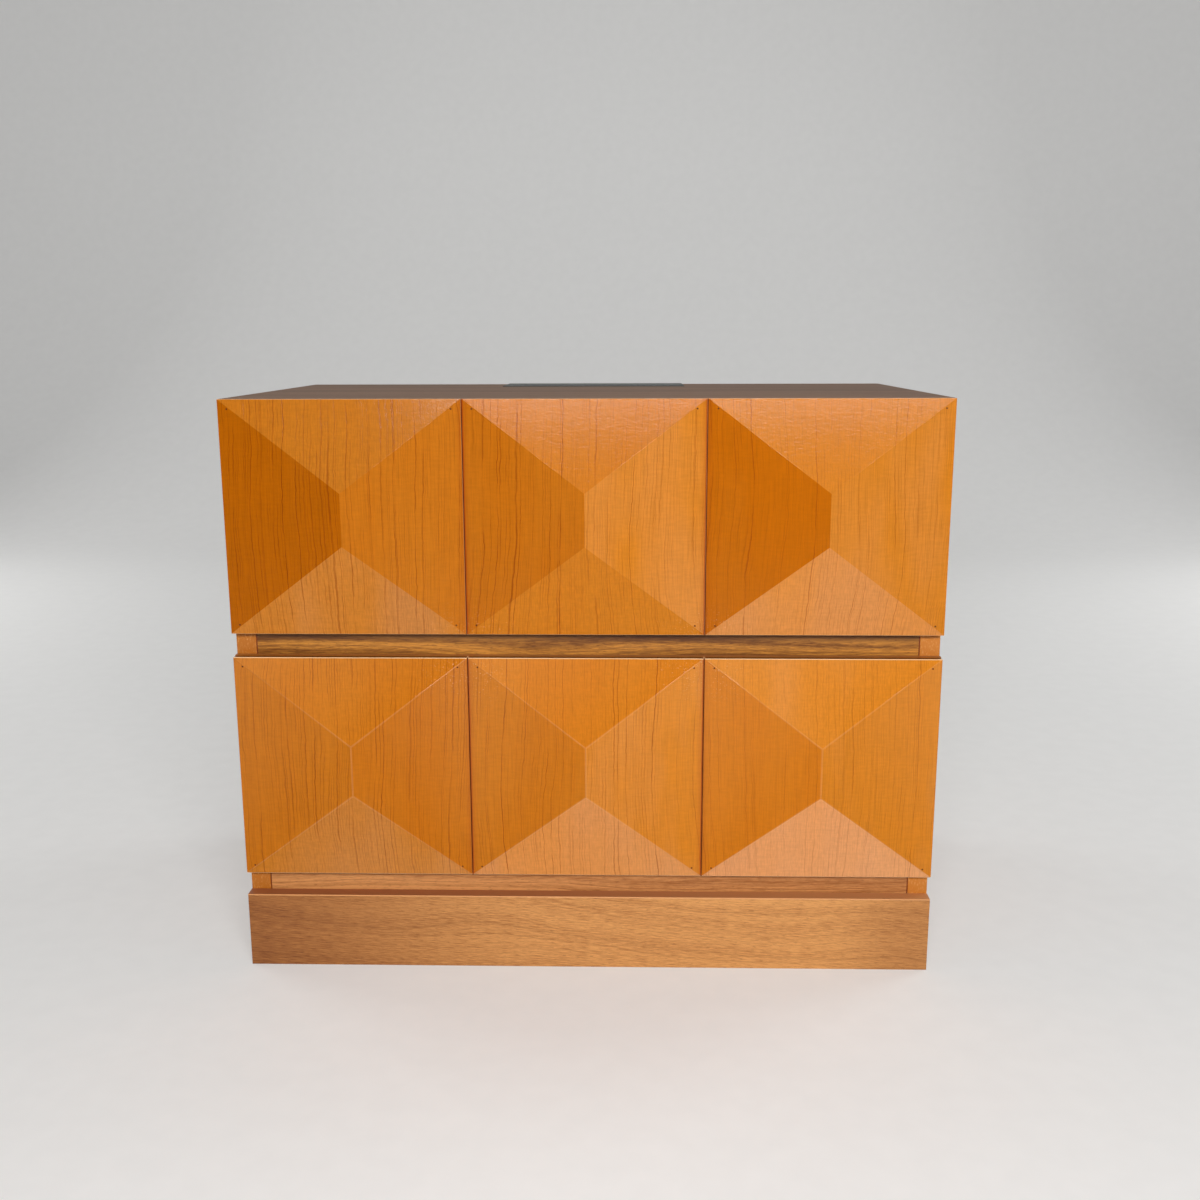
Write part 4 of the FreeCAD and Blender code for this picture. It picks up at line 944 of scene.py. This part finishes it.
def make_screw_tree():
    """Turned fasteners with an optional slot, one on each point, heads along the turned Z axis."""
    tree = Tree("turned_fasteners")
    sides, = tree.take("NodeSocketInt", "Sides")
    rim, crown, collar, dome, sink, shank, length, slot = tree.take(
        "NodeSocketFloat", "Rim Radius", "Crown Radius", "Collar Radius", "Dome Height", "Rim Height",
        "Shank Radius", "Length", "Slot Width",
    )
    turn, = tree.take("NodeSocketRotation", "Turn")
    finish, = tree.take("NodeSocketMaterial", "Material")
    upper = tree.cone(sides, crown, rim, dome, dome)
    lower = tree.cone(sides, rim, collar, sink, 0.0)
    head = tree.first("GeometryNodeMeshBoolean", ("Mesh 2", upper), ("Mesh 2", lower), operation="UNION",
                      solver="EXACT")
    groove = tree.vector(tree.math("MULTIPLY", rim, SLOT_REACH), slot, dome)
    groove = tree.first("GeometryNodeMeshCube", ("Size", groove))
    groove = tree.lifted(groove, tree.math("MULTIPLY", dome, SLOT_HEIGHT))
    slotted = tree.first("GeometryNodeMeshBoolean", ("Mesh 1", head), ("Mesh 2", groove),
                         operation="DIFFERENCE", solver="EXACT")
    buried = tree.math("MULTIPLY", sink, SHANK_START)
    thread = tree.math("MULTIPLY", length, THREAD)
    body = tree.cone(sides, shank, shank, thread, buried)
    point_start = tree.math("SUBTRACT", buried, thread)
    point = tree.cone(sides, shank, 0.0, tree.math("SUBTRACT", length, thread), point_start)
    parts = [("Geometry", part) for part in (slotted, body, point)]
    joined = tree.first("GeometryNodeJoinGeometry", *parts)
    placed = tree.first("GeometryNodeInstanceOnPoints", ("Points", tree.source.outputs["Geometry"]),
                        ("Instance", joined), ("Rotation", turn))
    solid = tree.first("GeometryNodeRealizeInstances", ("Geometry", placed))
    finished = tree.first("GeometryNodeSetMaterial", ("Geometry", solid), ("Material", finish))
    tree.put(tree.result.inputs["Geometry"], finished)
    return tree.group


def scatter(name, group, points, values, node, material):
    """Run the tree over a set of points and keep its result as one plain mesh."""
    cloud = bpy.data.meshes.new(f"{name}_points")
    cloud.from_pydata([tuple(point) for point in points], [], [])
    carrier = bpy.data.objects.new(f"{name}_carrier", cloud)
    bpy.context.scene.collection.objects.link(carrier)
    modifier = carrier.modifiers.new("fasteners", "NODES")
    modifier.node_group = group
    for item in group.interface.items_tree:
        if item.in_out == "INPUT" and item.name in values:
            modifier[item.identifier] = values[item.name]
    depsgraph = bpy.context.evaluated_depsgraph_get()
    mesh = bpy.data.meshes.new_from_object(carrier.evaluated_get(depsgraph))
    bpy.data.objects.remove(carrier)
    new_piece(name, mesh, node, material)


def head_point(low, high, heads, height):
    """Middle of the rim of a fastener, a little below its crown."""
    axis = "xyz".index(heads[1])
    point = (low + high) / 2
    sign = 1.0 if heads[0] == "+" else -1.0
    point[axis] = (high if sign > 0 else low)[axis] - sign * height
    return point


class NIGHTSTAND_OT_turn_fasteners(bpy.types.Operator):
    """Turn the screws, nails and pins where the solids hold them"""

    bl_idname = "nightstand.turn_fasteners"
    bl_label = "Turn the fasteners"

    def execute(self, context):
        group = make_screw_tree()
        steel = make_metal("screw_steel", colours().steel, 1.0, 0.34)
        pin = make_pin_wood()
        for drawer in DRAWERS:
            self.turn(group, f"{drawer}_front_screws", "+y", steel, head=0.0024, rim=0.0035, crown=0.0022)
            self.turn(group, f"{drawer}_bottom_screws", "-z", steel, head=0.0015, rim=0.003, crown=0.002)
            self.turn(group, f"{drawer}_block_pins", "-y", pin, head=0.0002, rim=0.0008, crown=0.0007,
                      slotted=False, shank=0.9, lift=0.00042)
        self.turn(group, "back_panel_nails", "+y", steel, head=0.0007, rim=0.002, crown=0.0017,
                  slotted=False, shank=0.45)
        for half, heads in ((-1.0, "+x"), (1.0, "-x")):
            self.turn(group, "runner_screws", heads, steel, head=0.0003, rim=0.0034, crown=0.0034,
                      collar=0.00175, half=half)
        return {"FINISHED"}

    def turn(self, group, node, heads, material, head, rim, crown, slotted=True, shank=0.5, collar=None,
             half=0.0, lift=0.0):
        """One group of like fasteners.

        The shank is a share of the rim. A collar makes a countersunk head. Half picks those left (-1) or
        right (1) of the middle, and lift is how far the heads stand proud of their solids.
        """
        found = [corners for corners in solids_of(node) if corners[0].x * half >= 0.0]
        length = (found[0][1] - found[0][0])["xyz".index(heads[1])]
        values = {
            "Sides": FASTENER_SIDES,
            "Rim Radius": rim,
            "Crown Radius": crown,
            "Collar Radius": rim if collar is None else collar,
            "Shank Radius": rim * shank,
            "Dome Height": head,
            "Rim Height": RIM_HEIGHT if collar is None else rim - collar,
            "Length": length - head - SHORTER,
            "Slot Width": sizes().slot_width if slotted else 0.0,
            "Turn": HEAD_TURNS[heads],
            "Material": material,
        }
        points = [head_point(low, high, heads, head - lift) for low, high in found]
        end = {-1.0: "_left", 0.0: "", 1.0: "_right"}[half]
        scatter(f"{node}_turned{end}", group, points, values, node, material)


class NIGHTSTAND_OT_set_stage(bpy.types.Operator):
    """Lay the floor, hang the lamps and set up the camera"""

    bl_idname = "nightstand.set_stage"
    bl_label = "Set the stage"

    def execute(self, context):
        stage = context.scene.nightstand_stage
        self.lay_floor(stage)
        for lamp, (place, size) in LAMPS.items():
            self.hang_lamp(f"{lamp}_lamp", getattr(stage, f"{lamp}_power"), place, size)
        world = bpy.data.worlds.new("even_light")
        context.scene.world = world
        world.use_nodes = True
        background = world.node_tree.nodes["Background"]
        background.inputs["Color"].default_value = SKY_COLOUR
        background.inputs["Strength"].default_value = stage.sky
        self.place_camera(context, stage)
        context.scene.view_settings.view_transform = "Standard"
        return {"FINISHED"}

    def lay_floor(self, stage):
        """A floor that sweeps up into a backdrop."""
        reach = stage.floor_reach
        foot = BACKDROP - BEND
        profile = [(-reach, 0.0), (foot, 0.0)]
        for step in range(1, BEND_STEPS + 1):
            angle = math.pi / 2 * step / BEND_STEPS
            profile.append((foot + BEND * math.sin(angle), BEND - BEND * math.cos(angle)))
        profile.append((BACKDROP, reach))
        form = bmesh.new()
        rows = [[form.verts.new((side * reach, y, z)) for side in (-1, 1)] for y, z in profile]
        for near_row, far_row in zip(rows, rows[1:]):
            face = form.faces.new((near_row[0], near_row[1], far_row[1], far_row[0]))
            face.smooth = True
        mesh = mesh_of(form, "floor_sweep")
        recipe = Recipe("pale_floor")
        grain = recipe.noise(recipe.place(), FLOOR_WAVES, detail=3.0)
        pale = colours().floor
        colour = recipe.mix(recipe.between(grain, 0.2, 0.8), pale, [value * 0.97 for value in pale])
        matte = recipe.finish(colour, 0.8, specular=0.1)
        self.glow(recipe, stage.floor_glow)
        mesh.materials.append(matte)
        floor = bpy.data.objects.new("floor_sweep", mesh)
        bpy.context.scene.collection.objects.link(floor)

    def glow(self, recipe, strength):
        """Lift the floor in the picture and in reflections, and leave its shadow."""
        seen = recipe.node("ShaderNodeLightPath").outputs
        share = recipe.larger(seen["Is Camera Ray"], seen["Is Glossy Ray"])
        share = recipe.larger(share, seen["Is Transmission Ray"])
        light = recipe.node("ShaderNodeEmission", (("Strength", recipe.times(share, strength)),))
        both = recipe.node("ShaderNodeAddShader", ((0, recipe.shader.outputs[0]), (1, light.outputs[0])))
        output = next(node for node in recipe.nodes if node.type == "OUTPUT_MATERIAL")
        recipe.put(output.inputs["Surface"], both.outputs[0])

    def hang_lamp(self, name, power, place, size):
        """A soft rectangular lamp that looks at the nightstand."""
        lamp = bpy.data.lights.new(name, "AREA")
        lamp.shape = "RECTANGLE"
        lamp.size, lamp.size_y = size
        lamp.energy = power
        holder = bpy.data.objects.new(name, lamp)
        holder.visible_camera = False
        holder.location = place
        aim = LAMP_AIM - Vector(place)
        holder.rotation_euler = aim.to_track_quat("-Z", "Y").to_euler()
        bpy.context.scene.collection.objects.link(holder)

    def place_camera(self, context, stage):
        """The photograph's camera: turned, dipped and rolled in that order."""
        lens = bpy.data.cameras.new("photo_camera")
        lens.sensor_width = SENSOR_WIDTH
        lens.lens = stage.lens
        camera = bpy.data.objects.new("photo_camera", lens)
        turned = Matrix.Rotation(stage.camera_turn, 4, "Z")
        dipped = Matrix.Rotation(math.pi / 2 - stage.camera_dip, 4, "X")
        rolled = Matrix.Rotation(stage.camera_roll, 4, "Z")
        camera.matrix_world = Matrix.Translation(stage.camera_place) @ turned @ dipped @ rolled
        context.scene.collection.objects.link(camera)
        context.scene.camera = camera


class NIGHTSTAND_PT_sidebar(bpy.types.Panel):
    """Steps and settings of the nightstand"""

    bl_idname = "NIGHTSTAND_PT_sidebar"
    bl_label = "Nightstand"
    bl_space_type = "VIEW_3D"
    bl_region_type = "UI"
    bl_category = "Nightstand"

    def draw(self, context):
        for step in STEPS:
            self.layout.operator(step.bl_idname)
        for name in GROUPS:
            group = getattr(context.scene, name)
            for key in group.bl_rna.properties.keys():
                if key not in ("rna_type", "name"):
                    self.layout.prop(group, key)


STEPS = (
    NIGHTSTAND_OT_finish_cabinet,
    NIGHTSTAND_OT_carve_fronts,
    NIGHTSTAND_OT_finish_boxes,
    NIGHTSTAND_OT_turn_fasteners,
    NIGHTSTAND_OT_set_stage,
)
GROUPS = {
    "nightstand_colours": NightstandColours,
    "nightstand_sizes": NightstandSizes,
    "nightstand_stage": NightstandStage,
}


def register():
    for kind in (*GROUPS.values(), *STEPS, NIGHTSTAND_PT_sidebar):
        bpy.utils.register_class(kind)
    for name, kind in GROUPS.items():
        setattr(bpy.types.Scene, name, bpy.props.PointerProperty(type=kind))


def unregister():
    for name in GROUPS:
        delattr(bpy.types.Scene, name)
    for kind in reversed((*GROUPS.values(), *STEPS, NIGHTSTAND_PT_sidebar)):
        bpy.utils.unregister_class(kind)


def main():
    register()
    bpy.ops.nightstand.finish_cabinet()
    bpy.ops.nightstand.carve_fronts()
    bpy.ops.nightstand.finish_boxes()
    bpy.ops.nightstand.turn_fasteners()
    bpy.ops.nightstand.set_stage()


if __name__ == "__main__":
    main()
